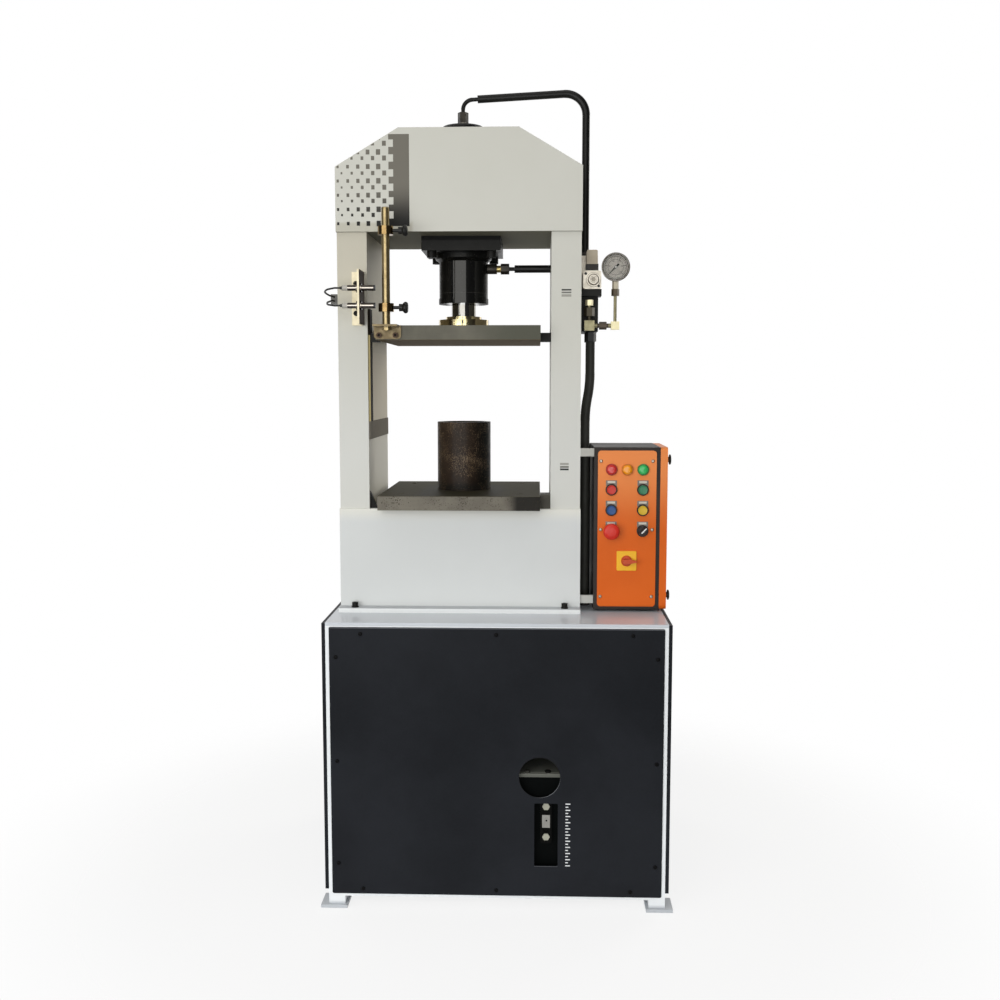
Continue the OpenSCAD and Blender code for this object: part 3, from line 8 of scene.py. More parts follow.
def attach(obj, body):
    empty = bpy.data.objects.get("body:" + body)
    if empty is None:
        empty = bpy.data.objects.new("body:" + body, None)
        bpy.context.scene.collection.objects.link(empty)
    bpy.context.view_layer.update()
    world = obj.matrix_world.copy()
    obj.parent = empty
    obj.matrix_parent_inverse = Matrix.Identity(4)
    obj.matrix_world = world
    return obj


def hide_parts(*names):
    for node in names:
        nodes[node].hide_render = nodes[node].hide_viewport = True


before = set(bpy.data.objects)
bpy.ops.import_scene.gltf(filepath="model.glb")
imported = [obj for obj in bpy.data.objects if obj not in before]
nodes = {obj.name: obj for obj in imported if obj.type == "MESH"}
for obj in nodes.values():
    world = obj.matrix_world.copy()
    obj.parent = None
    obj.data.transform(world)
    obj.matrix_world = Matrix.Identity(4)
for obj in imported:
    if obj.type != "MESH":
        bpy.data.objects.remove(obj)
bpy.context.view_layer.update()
scene = bpy.context.scene
scene.view_settings.view_transform = "Standard"
mm = 0.001
print("press: frame loaded with", len(nodes), "nodes")


# Camera

shot = {
    "place": (0.0981, -2.9873, 1.2759),
    "yaw": 1.92,          # degrees towards the left
    "pitch": 5.8,         # degrees downwards
    "focalPixels": 1129.4,
    "imageWidth": 1000,
    "sensor": 36.0,
    "farClip": 50,
}


def addCamera(s):
    # columns of the turn are the picture's right, its up, and the way back from the scene
    yaw, pitch = math.radians(s["yaw"]), math.radians(s["pitch"])
    ahead = Vector((-math.sin(yaw) * math.cos(pitch), math.cos(yaw) * math.cos(pitch), -math.sin(pitch)))
    right = Vector((math.cos(yaw), math.sin(yaw), 0.0))
    turn = Matrix((right, right.cross(ahead), -ahead)).transposed()
    lens = bpy.data.cameras.new("shotCamera")
    lens.sensor_width = s["sensor"]
    lens.sensor_fit = "HORIZONTAL"
    lens.lens = s["focalPixels"] * s["sensor"] / s["imageWidth"]
    lens.dof.use_dof = False
    lens.clip_end = s["farClip"]
    camera = bpy.data.objects.new("shotCamera", lens)
    camera.matrix_world = Matrix.Translation(s["place"]) @ turn.to_4x4()
    scene.collection.objects.link(camera)
    scene.camera = camera


addCamera(shot)
print("press: camera set")


# Shared mesh work, in millimetres until addPiece

crease = math.radians(35)      # edges sharper than this aren't smoothed


def addPiece(name, shape, finish, body="machine"):
    # shape is the pair of points and faces that the functions below give
    verts, faces = shape
    points = np.asarray(verts, float).reshape(-1, 3) * mm
    mesh = bpy.data.meshes.new(name)
    mesh.from_pydata(points.tolist(), [], [list(map(int, f)) for f in faces])
    mesh.materials.append(finish)
    mesh.shade_smooth()
    mesh.set_sharp_from_angle(angle=crease)
    mesh.validate()
    piece = bpy.data.objects.new(name, mesh)
    scene.collection.objects.link(piece)
    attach(piece, body)
    return piece


def gridQuads(rows, cols):
    # quads between neighbouring rows of a grid whose last column joins the first
    r = np.arange(rows - 1)[:, None] * cols
    c = np.arange(cols)[None, :]
    n = (c + 1) % cols
    return np.stack([r + c, r + n, r + cols + n, r + cols + c], -1).reshape(-1, 4)


def closedTube(rows, cols):
    # the quads of a tube, then its first row turned over and its last row as end faces
    first = np.arange(cols)
    return gridQuads(rows, cols).tolist() + [first[::-1].tolist(), (first + (rows - 1) * cols).tolist()]


def aroundY(depth, radius, steps):
    # rows of points at these depths in front, at the radius times the cosine (X) and the sine (Z)
    a = np.arange(steps) * 2 * math.pi / steps
    return np.stack([radius * np.cos(a), np.repeat(-depth, steps, 1), radius * np.sin(a)], -1)


def turnedFront(places, profile, steps, hexRows=()):
    # each profile point (distance in front of the place, radius) goes round the Y axis; on hexRows the
    # radius follows a hexagon: apothem over the cosine of the angle from the nearest flat's middle
    profile = np.asarray(profile, float)
    a = np.arange(steps) * 2 * math.pi / steps
    flat = (a + math.pi / 6) % (math.pi / 3) - math.pi / 6
    radius = np.repeat(profile[:, 1:], steps, 1)
    for row in hexRows:
        radius[row] = radius[row] / np.cos(flat)
    places = np.asarray(places, float).reshape(-1, 3)
    verts = places[:, None, None, :] + aroundY(profile[:, :1], radius, steps)[None]
    rows = len(profile)
    one = closedTube(rows, steps)
    return verts, [[v + k * rows * steps for v in f] for k in range(len(places)) for f in one]


def ringFront(centre, loop, steps):
    # a closed loop of profile points (distance in front of the centre, radius) goes round the Y axis
    loop = np.asarray(loop, float)
    row = np.arange(len(loop))[:, None] * steps
    after = np.roll(row, -1, 0)
    c = np.arange(steps)[None, :]
    n = (c + 1) % steps
    faces = np.stack([row + c, row + n, after + n, after + c], -1).reshape(-1, 4)
    return aroundY(loop[:, :1], loop[:, 1:], steps) + np.asarray(centre, float), faces


def tubeAlong(path, diameter, sides):
    # a round section carried along the path, its side vector turned as little as possible between points
    ahead = np.gradient(path, axis=0)
    ahead /= np.linalg.norm(ahead, axis=1)[:, None]
    steep = abs(ahead[0][2]) > 0.9
    side = np.cross(ahead[0], (0, 1, 0) if steep else (0, 0, 1))
    carried = []
    for t in ahead:
        side = side - t * side.dot(t)
        side = side / np.linalg.norm(side)
        carried.append(side)
    side = np.array(carried)
    up = np.cross(ahead, side)
    a = np.arange(sides) * 2 * math.pi / sides
    ring = side[:, None] * np.cos(a)[None, :, None] + up[:, None] * np.sin(a)[None, :, None]
    return path[:, None] + ring * diameter / 2, closedTube(len(path), sides)


def smoothPath(points, perSpan):
    # Catmull-Rom curve: a cubic through every point with the slope of its two neighbours
    p = np.asarray(points, float)
    q = np.vstack([2 * p[0] - p[1], p, 2 * p[-1] - p[-2]])
    t = np.linspace(0, 1, perSpan, endpoint=False)[None, :, None]
    a, b, c, d = (q[k:len(q) - 3 + k][:, None] for k in range(4))
    curve = b + 0.5 * t * (c - a + t * (2 * a - 5 * b + 4 * c - d + t * (3 * (b - c) + d - a)))
    return np.vstack([curve.reshape(-1, 3), p[-1]])


def flatSheets(boxes, y):
    # thin sheets in the XZ plane, one quad each, given as (low x, low z, high x, high z)
    b = np.asarray(boxes, float)
    x = b[:, [0, 2, 2, 0]]
    verts = np.stack([x, np.full_like(x, y), b[:, [1, 1, 3, 3]]], -1)
    return verts, np.arange(len(b) * 4).reshape(-1, 4)


# Shared shader work

def rgb(r, g, b):
    # display colour, 0 to 255, as linear light
    c = np.array([r, g, b]) / 255
    lin = np.where(c <= 0.04045, c / 12.92, ((c + 0.055) / 1.055) ** 2.4)
    return (float(lin[0]), float(lin[1]), float(lin[2]), 1.0)


def feed(tree, socket, x):
    # another node's output is linked, anything else is set on the socket itself
    if isinstance(x, bpy.types.NodeSocket):
        tree.links.new(x, socket)
    else:
        socket.default_value = x


def addNode(tree, kind, values=None, **settings):
    # a shader node with its settings, and each value fed to the input of that name or number
    node = tree.nodes.new("ShaderNode" + kind)
    for key, x in settings.items():
        setattr(node, key, x)
    for label, x in (values or {}).items():
        feed(tree, node.inputs[label], x)
    return node


def newGroup(name, inputs, outputs):
    # a node group with these sockets; gives the values going in and the sockets to fill
    group = bpy.data.node_groups.new(name, "ShaderNodeTree")
    for label, kind, value in inputs:
        socket = group.interface.new_socket(label, in_out="INPUT", socket_type="NodeSocket" + kind)
        socket.default_value = value
    for label, kind in outputs:
        group.interface.new_socket(label, in_out="OUTPUT", socket_type="NodeSocket" + kind)
    return group, group.nodes.new("NodeGroupInput").outputs, group.nodes.new("NodeGroupOutput").inputs


# each of the next functions adds one node and gives what comes out of it

def placeGroup(tree, group, values):
    return addNode(tree, "Group", values, node_tree=group).outputs


def noiseIn(tree, coords, scale, detail, rough):
    values = {"Vector": coords, "Scale": scale, "Detail": detail, "Roughness": rough}
    return addNode(tree, "TexNoise", values).outputs["Fac"]


def rangeOf(tree, value, low, high, toLow=0.0, toHigh=1.0):
    # a smooth step from toLow to toHigh while the value goes from low to high
    values = {"Value": value, "From Min": low, "From Max": high, "To Min": toLow, "To Max": toHigh}
    return addNode(tree, "MapRange", values, interpolation_type="SMOOTHSTEP").outputs["Result"]


def mathOf(tree, operation, a, b):
    return addNode(tree, "Math", {0: a, 1: b}, operation=operation).outputs["Value"]


def vectorOf(tree, operation, *vectors):
    return addNode(tree, "VectorMath", dict(enumerate(vectors)), operation=operation).outputs


def axesOf(tree, vector):
    return addNode(tree, "SeparateXYZ", {0: vector}).outputs


def mixColour(tree, factor, a, b):
    return addNode(tree, "Mix", {0: factor, 6: a, 7: b}, data_type="RGBA").outputs[2]


def mixValue(tree, factor, a, b):
    return addNode(tree, "Mix", {0: factor, 2: a, 3: b}).outputs[0]


def mixShaders(tree, factor, first, second):
    return addNode(tree, "MixShader", {0: factor, 1: first.outputs[0], 2: second.outputs[0]})


def objectCoords(tree):
    return addNode(tree, "TexCoord").outputs["Object"]


skin = {
    "patchNoise": (4.0, 0.6),         # detail and roughness of a noise
    "patchEdges": (0.34, 0.66),
    "grainNoise": (3.0, 0.55),
    "shares": (0.6, 0.4),             # of the patches and the grain in the tone
}


def makeSkinGroup(s):
    # two tones in soft patches, a roughness that follows them, and a fine grain for the bump
    group, given, out = newGroup("skin", [
        ("Colour", "Color", (0.5, 0.5, 0.5, 1)), ("Shade", "Color", (0.4, 0.4, 0.4, 1)),
        ("Patch Scale", "Float", 6.0), ("Grain Scale", "Float", 400.0), ("Rough Low", "Float", 0.3),
        ("Rough High", "Float", 0.5), ("Stretch", "Vector", (1, 1, 1))],
        [("Colour", "Color"), ("Roughness", "Float"), ("Grain", "Float")])
    coords = objectCoords(group)
    stretched = vectorOf(group, "MULTIPLY", coords, given["Stretch"])[0]
    patch = rangeOf(group, noiseIn(group, coords, given["Patch Scale"], *s["patchNoise"]), *s["patchEdges"])
    grain = noiseIn(group, stretched, given["Grain Scale"], *s["grainNoise"])
    weighed = [mathOf(group, "MULTIPLY", x, share) for x, share in zip((patch, grain), s["shares"])]
    both = mathOf(group, "ADD", *weighed)
    feed(group, out["Colour"], mixColour(group, both, given["Colour"], given["Shade"]))
    feed(group, out["Roughness"], mixValue(group, both, given["Rough Low"], given["Rough High"]))
    feed(group, out["Grain"], grain)
    return group


def makeZoneGroup():
    # 1 inside a box in the object's own coordinates, fading over the soft width: a smooth step of the
    # least distance to the box's six sides
    group, given, out = newGroup("zone", [
        ("Low", "Vector", (0, 0, 0)), ("High", "Vector", (1, 1, 1)),
        ("Soft", "Float", 0.0005)], [("Mask", "Float")])
    coords = objectCoords(group)
    reach = []
    for first, second in ((coords, given["Low"]), (given["High"], coords)):
        reach += list(axesOf(group, vectorOf(group, "SUBTRACT", first, second)[0]))
    least = reach[0]
    for r in reach[1:]:
        least = mathOf(group, "MINIMUM", least, r)
    minus = mathOf(group, "MULTIPLY", given["Soft"], -1.0)
    feed(group, out["Mask"], rangeOf(group, least, minus, given["Soft"]))
    return group


flecks = {"fineNoise": (2.0, 0.6), "broadScale": 18.0, "broadNoise": (3.0, 0.6), "top": 0.86, "edge": 0.06}


def makeFleckGroup(s):
    # small specks: the tops of a fine noise, thinned by a broad one
    group, given, out = newGroup("flecks", [
        ("Scale", "Float", 300.0), ("Amount", "Float", 0.5)], [("Mask", "Float")])
    coords = objectCoords(group)
    fine = noiseIn(group, coords, given["Scale"], *s["fineNoise"])
    broad = noiseIn(group, coords, s["broadScale"], *s["broadNoise"])
    level = mathOf(group, "SUBTRACT", s["top"], mathOf(group, "MULTIPLY", given["Amount"], broad))
    feed(group, out["Mask"], rangeOf(group, fine, level, mathOf(group, "ADD", level, s["edge"])))
    return group


skinGroup = makeSkinGroup(skin)
zoneGroup = makeZoneGroup()
fleckGroup = makeFleckGroup(flecks)


def zone(colour=None, x=(-1, 1), y=(-1, 1), z=(-1, 3), soft=0.0004, **other):
    # a box in metres, the width of its soft edge, and what changes inside it
    inside = dict(other, place={"Low": (x[0], y[0], z[0]), "High": (x[1], y[1], z[1]), "Soft": soft})
    if colour:
        inside["colour"] = rgb(*colour)
    return inside


def makeFinish(name, colour, shade, rough, patch, grain, bump=0.0, bumpDepth=0.0004, spec=0.5, metal=0.0,
               coat=0.0, coatRough=0.1, stretch=(1, 1, 1), zones=(), fleck=None, fleckCoat=None):
    # a skin of two tones, then zones and flecks laid over it, in one principled shader; rough is the
    # roughness's range, patch and grain are noise scales, fleck is its colour, scale and amount
    finish = bpy.data.materials.new(name)
    finish.use_nodes = True
    tree = finish.node_tree
    shader = tree.nodes["Principled BSDF"]
    base = placeGroup(tree, skinGroup, {
        "Colour": rgb(*colour), "Shade": rgb(*shade), "Patch Scale": patch, "Grain Scale": grain,
        "Rough Low": rough[0], "Rough High": rough[1], "Stretch": stretch})
    layers = {"colour": base["Colour"], "rough": base["Roughness"], "metal": metal, "coat": coat}

    def lay(mask, changes):
        # each change is mixed in as far as the mask goes
        for what in layers:
            if what in changes:
                mix = mixColour if what == "colour" else mixValue
                layers[what] = mix(tree, mask, layers[what], changes[what])

    for z in zones:
        lay(placeGroup(tree, zoneGroup, z["place"])[0], z)
    if fleck:
        specks = placeGroup(tree, fleckGroup, {"Scale": fleck[1], "Amount": fleck[2]})[0]
        changes = {"colour": rgb(*fleck[0])}
        if fleckCoat is not None:
            changes["coat"] = fleckCoat
        lay(specks, changes)
    for label, x in (("Base Color", layers["colour"]), ("Roughness", layers["rough"]),
                     ("Metallic", layers["metal"]), ("Coat Weight", layers["coat"]),
                     ("Specular IOR Level", spec), ("Coat Roughness", coatRough)):
        feed(tree, shader.inputs[label], x)
    if bump > 0:
        dents = addNode(tree, "Bump", {"Strength": bump, "Distance": bumpDepth, "Height": base["Grain"]})
        feed(tree, shader.inputs["Normal"], dents.outputs["Normal"])
    finish.diffuse_color = rgb(*colour)
    return finish


def paint(names, *look, **more):
    # a new finish on the nodes that are named
    finish = makeFinish(*look, **more)
    for n in names.split():
        node = nodes[n]
        if node.material_slots:
            node.material_slots[0].material = finish
        else:
            node.data.materials.append(finish)
    return finish


# Sensor leads

leads = {
    "diameter": 4.5,
    "perSpan": 4,
    "sides": 14,
    "upper": [
        (-380, -245, 1509), (-386, -245, 1509), (-393, -244, 1509), (-400, -242, 1508), (-407, -239, 1507),
        (-413, -234, 1506), (-418, -227, 1504), (-421, -219, 1502), (-421, -210, 1500), (-419, -201, 1498),
        (-416, -192, 1496), (-413, -184, 1495), (-410, -176, 1494), (-409, -168, 1494), (-409, -160, 1494)],
    "lower": [
        (-380, -245, 1467), (-386, -245, 1467), (-393, -244, 1467), (-399, -242, 1468), (-405, -239, 1469),
        (-410, -234, 1470), (-414, -227, 1472), (-416, -219, 1474), (-417, -210, 1477), (-416, -201, 1479),
        (-414, -192, 1481), (-412, -184, 1483), (-410, -176, 1484), (-409, -168, 1484), (-409, -160, 1484)],
}
leadSheath = makeFinish("leadSheath", (24, 23, 22), (34, 33, 31), (0.4, 0.55), 60, 900, bump=0.1, spec=0.4)


def addLead(which, s):
    # a tube along the smooth curve through the points; the cord's length is the curve's own
    path = smoothPath(np.array(s[which]) * mm, s["perSpan"])
    tube = tubeAlong(path / mm, s["diameter"], s["sides"])
    lead = addPiece(which + "Lead", tube, leadSheath)
    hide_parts(which + "_sensor_cable")


addLead("upper", leads)
addLead("lower", leads)
print("press: leads laid")


# Press frame and cabinet paint

frameTones = (210, 209, 201), (205, 204, 195)
frameLook = {"rough": (0.46, 0.56), "patch": 2.5, "grain": 420, "bump": 0.06, "bumpDepth": 0.0003,
             "spec": 0.15}
innerFace = {
    "x": (-0.3245, -0.3235),
    "y": (-0.1766, 0.2),
    "soft": 0.0003,
    "footZ": (0.96, 1.15),
    "footTone": (238, 235, 222),
    "bandsFrom": 1.18,
    "bandTall": 0.03,
    "bands": 16,
    "pale": (229, 219, 197),
    "loss": (30, 26, 24),
    "lossFrom": 1.32,
    "lossOver": 0.18,
}


def innerShadeZones(s):
    # the left column's inner face, in painted light and shade: pale at the foot, then darker by small steps
    # towards the crosshead
    zones = [zone(s["footTone"], s["x"], s["y"], s["footZ"], s["soft"])]
    for k in range(s["bands"]):
        z = s["bandsFrom"] + s["bandTall"] * k
        t = min(max((z - s["lossFrom"]) / s["lossOver"], 0), 1)
        tone = [p - d * t for p, d in zip(s["pale"], s["loss"])]
        zones.append(zone(tone, s["x"], s["y"], (z, z + s["bandTall"]), s["soft"]))
    return zones


# painted light and shade on the columns: paler and cooler low down, darker and warmer at the top of the left
# column
paint("left_column right_column", "columnPaint", *frameTones, **frameLook,
      zones=[zone((212, 212, 207), z=(0.9, 1.28), soft=0.2),
             zone((198, 193, 178), x=(-1, -0.15), z=(1.46, 2), soft=0.07),
             zone((180, 179, 172), x=(0.2045, 1), z=(1.0, 1.3), soft=0.0003),
             *innerShadeZones(innerFace)])
# paler towards the top; painted shade on the flange's upper side and a painted highlight on its front edge
# below it
paint("frame_base", "basePaint", (215, 217, 216), (210, 212, 211), **frameLook,
      zones=[zone((226, 225, 217), z=(0.95, 1), soft=0.02),
             zone((182, 182, 177), x=(0.206, 1), z=(0.73, 0.9), soft=0.0003),
             zone((192, 195, 198), z=(0.7206, 0.7214), soft=0.0003),
             zone((234, 236, 236), z=(0.7, 0.7206), soft=0.0002)])
# painted shade: darker on the lower left of the front, darker still on the underside
paint("crosshead", "headPaint", *frameTones, **frameLook,
      zones=[zone((192, 189, 176), x=(-1, -0.21), y=(-1, -0.15), z=(1.6, 1.672), soft=0.005),
             zone((132, 129, 112), z=(1.6, 1.6502), soft=0.0002, rough=0.7)])
# painted shade on the lowest 12 mm, at the feet
paint("cabinet_frame", "cabinetPaint", (238, 241, 243), (232, 235, 238), (0.34, 0.44), 5, 420, bump=0.05,
      spec=0.4, zones=[zone((186, 190, 195), z=(-0.1, 0.012), soft=0.006)])
paint("cabinet_top", "topSheet", (206, 210, 216), (198, 202, 208), (0.16, 0.26), 4, 300, bump=0.02)
panelLook = {"colour": (21, 23, 27), "shade": (35, 37, 42), "rough": (0.42, 0.6), "patch": 2.6, "grain": 240,
             "bump": 0.08, "spec": 0.1}
paint("cover_panels", "coverBlack", **panelLook)
# the folded upper edge of the front panel catches the light
paint("front_panel", "panelBlack", **panelLook,
      zones=[zone((92, 93, 97), x=(-0.4, 0.4), y=(-0.342, -0.33), z=(0.6966, 0.6988), soft=0.0008)])

# Steel of the bed, platen and tooling

paint("bed_plate", "bedSteel", (128, 123, 112), (106, 101, 92), (0.5, 0.64), 22, 240, bump=0.12,
      spec=0.04, stretch=(0.1, 1, 1), fleck=((60, 56, 48), 260, 0.5),
      zones=[zone((30, 29, 28), x=(0.035, 0.2), y=(-0.3, -0.21), z=(0.9, 1.1), soft=0.02),
             zone((80, 76, 60), z=(1.0026, 1.1), rough=0.6),
             # painted shadow and reflection of the sleeve on the bed's top
             zone((36, 33, 26), x=(-0.19, -0.004), y=(-0.2, 0.09), z=(1.0026, 1.1), soft=0.03, rough=0.5)])
paint("platen", "platenSteel", (116, 113, 102), (98, 96, 87), (0.5, 0.64), 14, 260, bump=0.12, spec=0.05,
      stretch=(0.12, 1, 1),
      zones=[zone((90, 90, 80), x=(-0.02, 0.2), y=(-0.3, 0.3), z=(1.3, 1.5), soft=0.06),
             # painted shade on the underside and lower edge
             zone((104, 90, 66), z=(1.38, 1.3865), rough=0.7)])
paint("support_sleeve", "sleeveSteel", (37, 28, 21), (50, 38, 29), (0.4, 0.62), 60, 420, bump=0.3,
      spec=0.12, coat=0.06, coatRough=0.2, fleck=((128, 108, 84), 640, 0.5),
      # painted shade: dark down the right side and darker round the foot
      zones=[zone((9, 8, 7), x=(-0.062, 0.1), z=(1, 1.3), soft=0.022),
             zone((26, 23, 20), z=(1.0, 1.02), soft=0.01)])
paint("frame_bolts manifold_block guide_shoes", "blackSteel", (24, 23, 22), (34, 33, 31), (0.42, 0.58),
      40, 500, bump=0.12, spec=0.15)
paint("bed_blocks", "blockSteel", (98, 95, 88), (84, 81, 75), (0.46, 0.6), 40, 420, bump=0.12, spec=0.08,
      zones=[zone((34, 33, 31), x=(-1, -0.25), z=(0.9, 1.1), soft=0.01)])
# the rail is bronze on its front face; its sides are painted dark as shade
paint("guide_rail", "railSteel", (26, 21, 17), (34, 28, 22), (0.6, 0.75), 40, 400, bump=0.1, spec=0.04,
      stretch=(1, 1, 0.1),
      zones=[zone((140, 128, 92), y=(-0.2, -0.1704), z=(1.1861, 1.4), rough=0.4, metal=0.5),
             zone((136, 130, 119), z=(1.0, 1.1862), metal=0.0)])

# Cylinder, ram and trip gear

paint("cylinder_barrel cylinder_gland", "cylinderBlack", (8, 8, 8), (13, 13, 12), (0.4, 0.55), 30, 330,
      bump=0.2, bumpDepth=0.0003, spec=0.08, coat=1.0, coatRough=0.07, fleckCoat=0.3,
      fleck=((92, 90, 86), 420, 0.36),
      zones=[zone((18, 18, 17), z=(1.5998, 2), coat=0.12),
             # a painted highlight along the edge above the gland
             zone((48, 47, 45), z=(1.5122, 1.5134)),
             zone(x=(-1, -0.136), z=(1, 1.5998), soft=0.008, coat=0.1),
             zone(x=(-0.058, 1), z=(1, 1.5998), soft=0.008, coat=0.1)])
# the darker sides of the rod are painted reflection
paint("piston_rod piston motor_rotor", "rodChrome", (172, 171, 168), (158, 157, 154), (0.05, 0.09), 30,
      600, bump=0.02, metal=1.0, stretch=(0.1, 0.1, 1),
      zones=[zone((92, 90, 84), x=(-1, -0.111), z=(1, 3), soft=0.003),
             zone((92, 90, 84), x=(-0.083, 1), z=(1, 3), soft=0.003)])
# painted reflection darkens both sides, and painted shade fills the split at the front
paint("rod_clamp", "clampZinc", (224, 212, 168), (196, 180, 132), (0.12, 0.22), 46, 520, bump=0.08,
      metal=1.0,
      zones=[zone((165, 150, 116), x=(-1, -0.119), soft=0.004),
             zone((165, 150, 116), x=(-0.07, 1), soft=0.004),
             zone((16, 14, 12), x=(-0.0982, -0.0938), y=(-1, -0.04), z=(1.4342, 1.443), metal=0.0)])
paint("trip_rod", "rodZinc", (178, 160, 120), (148, 130, 92), (0.24, 0.4), 60, 520, bump=0.1, metal=0.9)
boltZones = []
for x in (-0.288, -0.248):      # a dark face on each bolt, darker still in its socket
    boltZones += [
        zone((60, 41, 26), (x - 0.0068, x + 0.0068), (-0.24, -0.2281), (1.39, 1.404), 0.0001, rough=0.45),
        # the socket's darker tone is painted shade
        zone((16, 12, 9), (x - 0.0034, x + 0.0034), (-0.2358, -0.2281), (1.3933, 1.4007), 0.0001, rough=0.8,
             metal=0.0)]
paint("trip_bracket", "bracketZinc", (127, 111, 80), (99, 85, 59), (0.32, 0.5), 60, 520, bump=0.1,
      metal=0.55, zones=boltZones)
paint("sensor_bracket", "sensorZinc", (230, 219, 190), (216, 204, 172), (0.36, 0.5), 60, 520, bump=0.08,
      # the flange's right face is painted dark as shade
      metal=0.3, zones=[zone((66, 46, 31), x=(-0.3313, -0.33), soft=0.0002, rough=0.7, metal=0.0)])
paint("lower_collar upper_collar", "collarZinc", (168, 142, 98), (128, 104, 68), (0.13, 0.22), 70, 520,
      bump=0.08, metal=1.0)
knobs = "lower_collar_knob upper_collar_knob upper_door_knob lower_door_knob gauge_needle"
knobPlastic = paint(knobs, "knobPlastic", (18, 18, 17), (26, 26, 24), (0.32, 0.44), 80, 900, bump=0.06,
                    spec=0.35)
paint("cable_block", "tieGrey", (112, 110, 106), (92, 90, 87), (0.4, 0.52), 80, 900, bump=0.06, spec=0.3)
paint("limit_sensors", "sensorBody", (78, 72, 68), (66, 61, 57), (0.1, 0.16), 90, 700, bump=0.06,
      metal=1.0, stretch=(1, 0.1, 0.1),
      # painted highlights along the two sensor bodies
      zones=[zone((174, 167, 158), z=(1.5076, 1.5108), soft=0.0008),
             zone((174, 167, 158), z=(1.4656, 1.4688), soft=0.0008),
             zone((176, 172, 164), x=(-0.5, -0.3615), rough=0.5, metal=0.0),
             zone((30, 29, 28), x=(-0.5, -0.3735), rough=0.5, metal=0.0),
             zone((26, 25, 24), x=(-0.298, 0), rough=0.4, metal=0.0)])

# Valve, gauge and pipes

paint("solenoid_valve", "coilAluminium", (224, 217, 204), (198, 190, 176), (0.34, 0.5), 60, 420,
      bump=0.16, metal=0.5,
      zones=[zone((34, 33, 32), y=(-0.0945, 1), rough=0.5, metal=0.0),
             # painted shade in the two corner holes and, less dark, in the hex socket
             zone((14, 13, 12), x=(0.2108, 0.2192), y=(-0.1493, -0.14), z=(1.5463, 1.5547), soft=0.0001,
                  metal=0.0),
             zone((14, 13, 12), x=(0.2428, 0.2512), y=(-0.1493, -0.14), z=(1.5163, 1.5247), soft=0.0001,
                  metal=0.0),
             zone((150, 143, 131), x=(0.2283, 0.2397), y=(-0.1588, -0.154), z=(1.5298, 1.5412),
                  soft=0.0001)])
paint("valve_plug", "plugGrey", (178, 166, 147), (162, 151, 133), (0.4, 0.52), 40, 800, bump=0.08,
      spec=0.3, zones=[zone((34, 30, 27), z=(1, 1.5745))])
nutZones = (
    # colour, x, z and roughness of each nut and stem
    ((70, 60, 48), (0.2445, 0.272), (1.4, 1.45), 0.4),
    ((222, 212, 172), (0.2785, 0.31), (1.41, 1.4345), 0.4),
    ((76, 66, 52), (0.27, 0.32), (1.4955, 1.5135), 0.4),
    ((164, 156, 138), (0.27, 0.32), (1.5135, 1.54), 0.35),
    ((62, 55, 40), (0.2, 0.245), (1.4365, 1.4683), 0.4),
    ((232, 222, 184), (0.2, 0.245), (1.4728, 1.49), 0.35),
)
paint("gauge_pipework", "fittingBrass", (152, 145, 112), (128, 121, 90), (0.3, 0.46), 60, 600, bump=0.08,
      metal=0.5, zones=[zone(tone, x, (-0.16, -0.12), z, rough=r) for tone, x, z, r in nutZones])
paint("gauge_case", "gaugeSteel", (150, 146, 140), (128, 124, 118), (0.22, 0.34), 60, 500, bump=0.04,
      metal=0.8)
paint("top_pipe side_pipe", "pipeSleeve", (15, 15, 14), (22, 22, 20), (0.34, 0.46), 40, 500, bump=0.14,
      spec=0.25)
paint("supply_hoses", "hoseRubber", (50, 50, 46), (60, 60, 56), (0.46, 0.6), 30, 600, bump=0.16, spec=0.2)
paint("pipe_fittings", "fittingSteel", (58, 54, 47), (40, 37, 33), (0.34, 0.48), 60, 500, bump=0.1,
      spec=0.3, metal=0.4,
      zones=[zone((150, 146, 138), x=(-0.2, 0.0), y=(-0.1, 0.1), z=(1.93, 1.9463)),
             zone((196, 176, 116), x=(-0.01, 0.0002), y=(-0.1, 0.1), z=(1.5, 1.65), metal=0.9),
             zone((22, 21, 20), x=(0.2, 0.3), y=(-0.2, 0.1), z=(0.6, 1.45), metal=0.0)])

# Control box

paint("control_box", "boxBlack", (48, 41, 37), (40, 35, 32), (0.44, 0.56), 14, 300, bump=0.08, spec=0.25,
      # the box's left side is painted dark as shade
      zones=[zone((14, 13, 13), x=(0.2, 0.2392), y=(-0.178, 1), z=(0.6, 2), soft=0.0003)])
paint("control_plate box_door", "boxOrange", (220, 101, 25), (214, 95, 21), (0.36, 0.46), 8, 420,
      # painted light: paler towards the top
      bump=0.05, spec=0.15, zones=[zone((236, 140, 76), z=(0.99, 2), soft=0.09)])
paint("switch_bezels", "bezelPlastic", (34, 32, 30), (46, 43, 40), (0.32, 0.44), 80, 900, bump=0.05,
      spec=0.35,
      zones=[zone((160, 36, 32), x=(0.2, 0.3005), z=(1.04, 1.1)),
             zone((196, 112, 20), x=(0.3005, 0.3395), z=(1.04, 1.1)),
             zone((38, 122, 62), x=(0.3395, 0.4), z=(1.04, 1.1)),
             zone((242, 184, 18), x=(0.2, 0.4), z=(0.8, 0.88))])
paint("pilot_lamps", "lampLens", (210, 50, 44), (190, 38, 34), (0.14, 0.22), 120, 700, bump=0.03, spec=0.4,
      coat=0.2,
      zones=[zone((238, 150, 20), x=(0.3005, 0.3395)), zone((44, 178, 88), x=(0.3395, 0.5))])
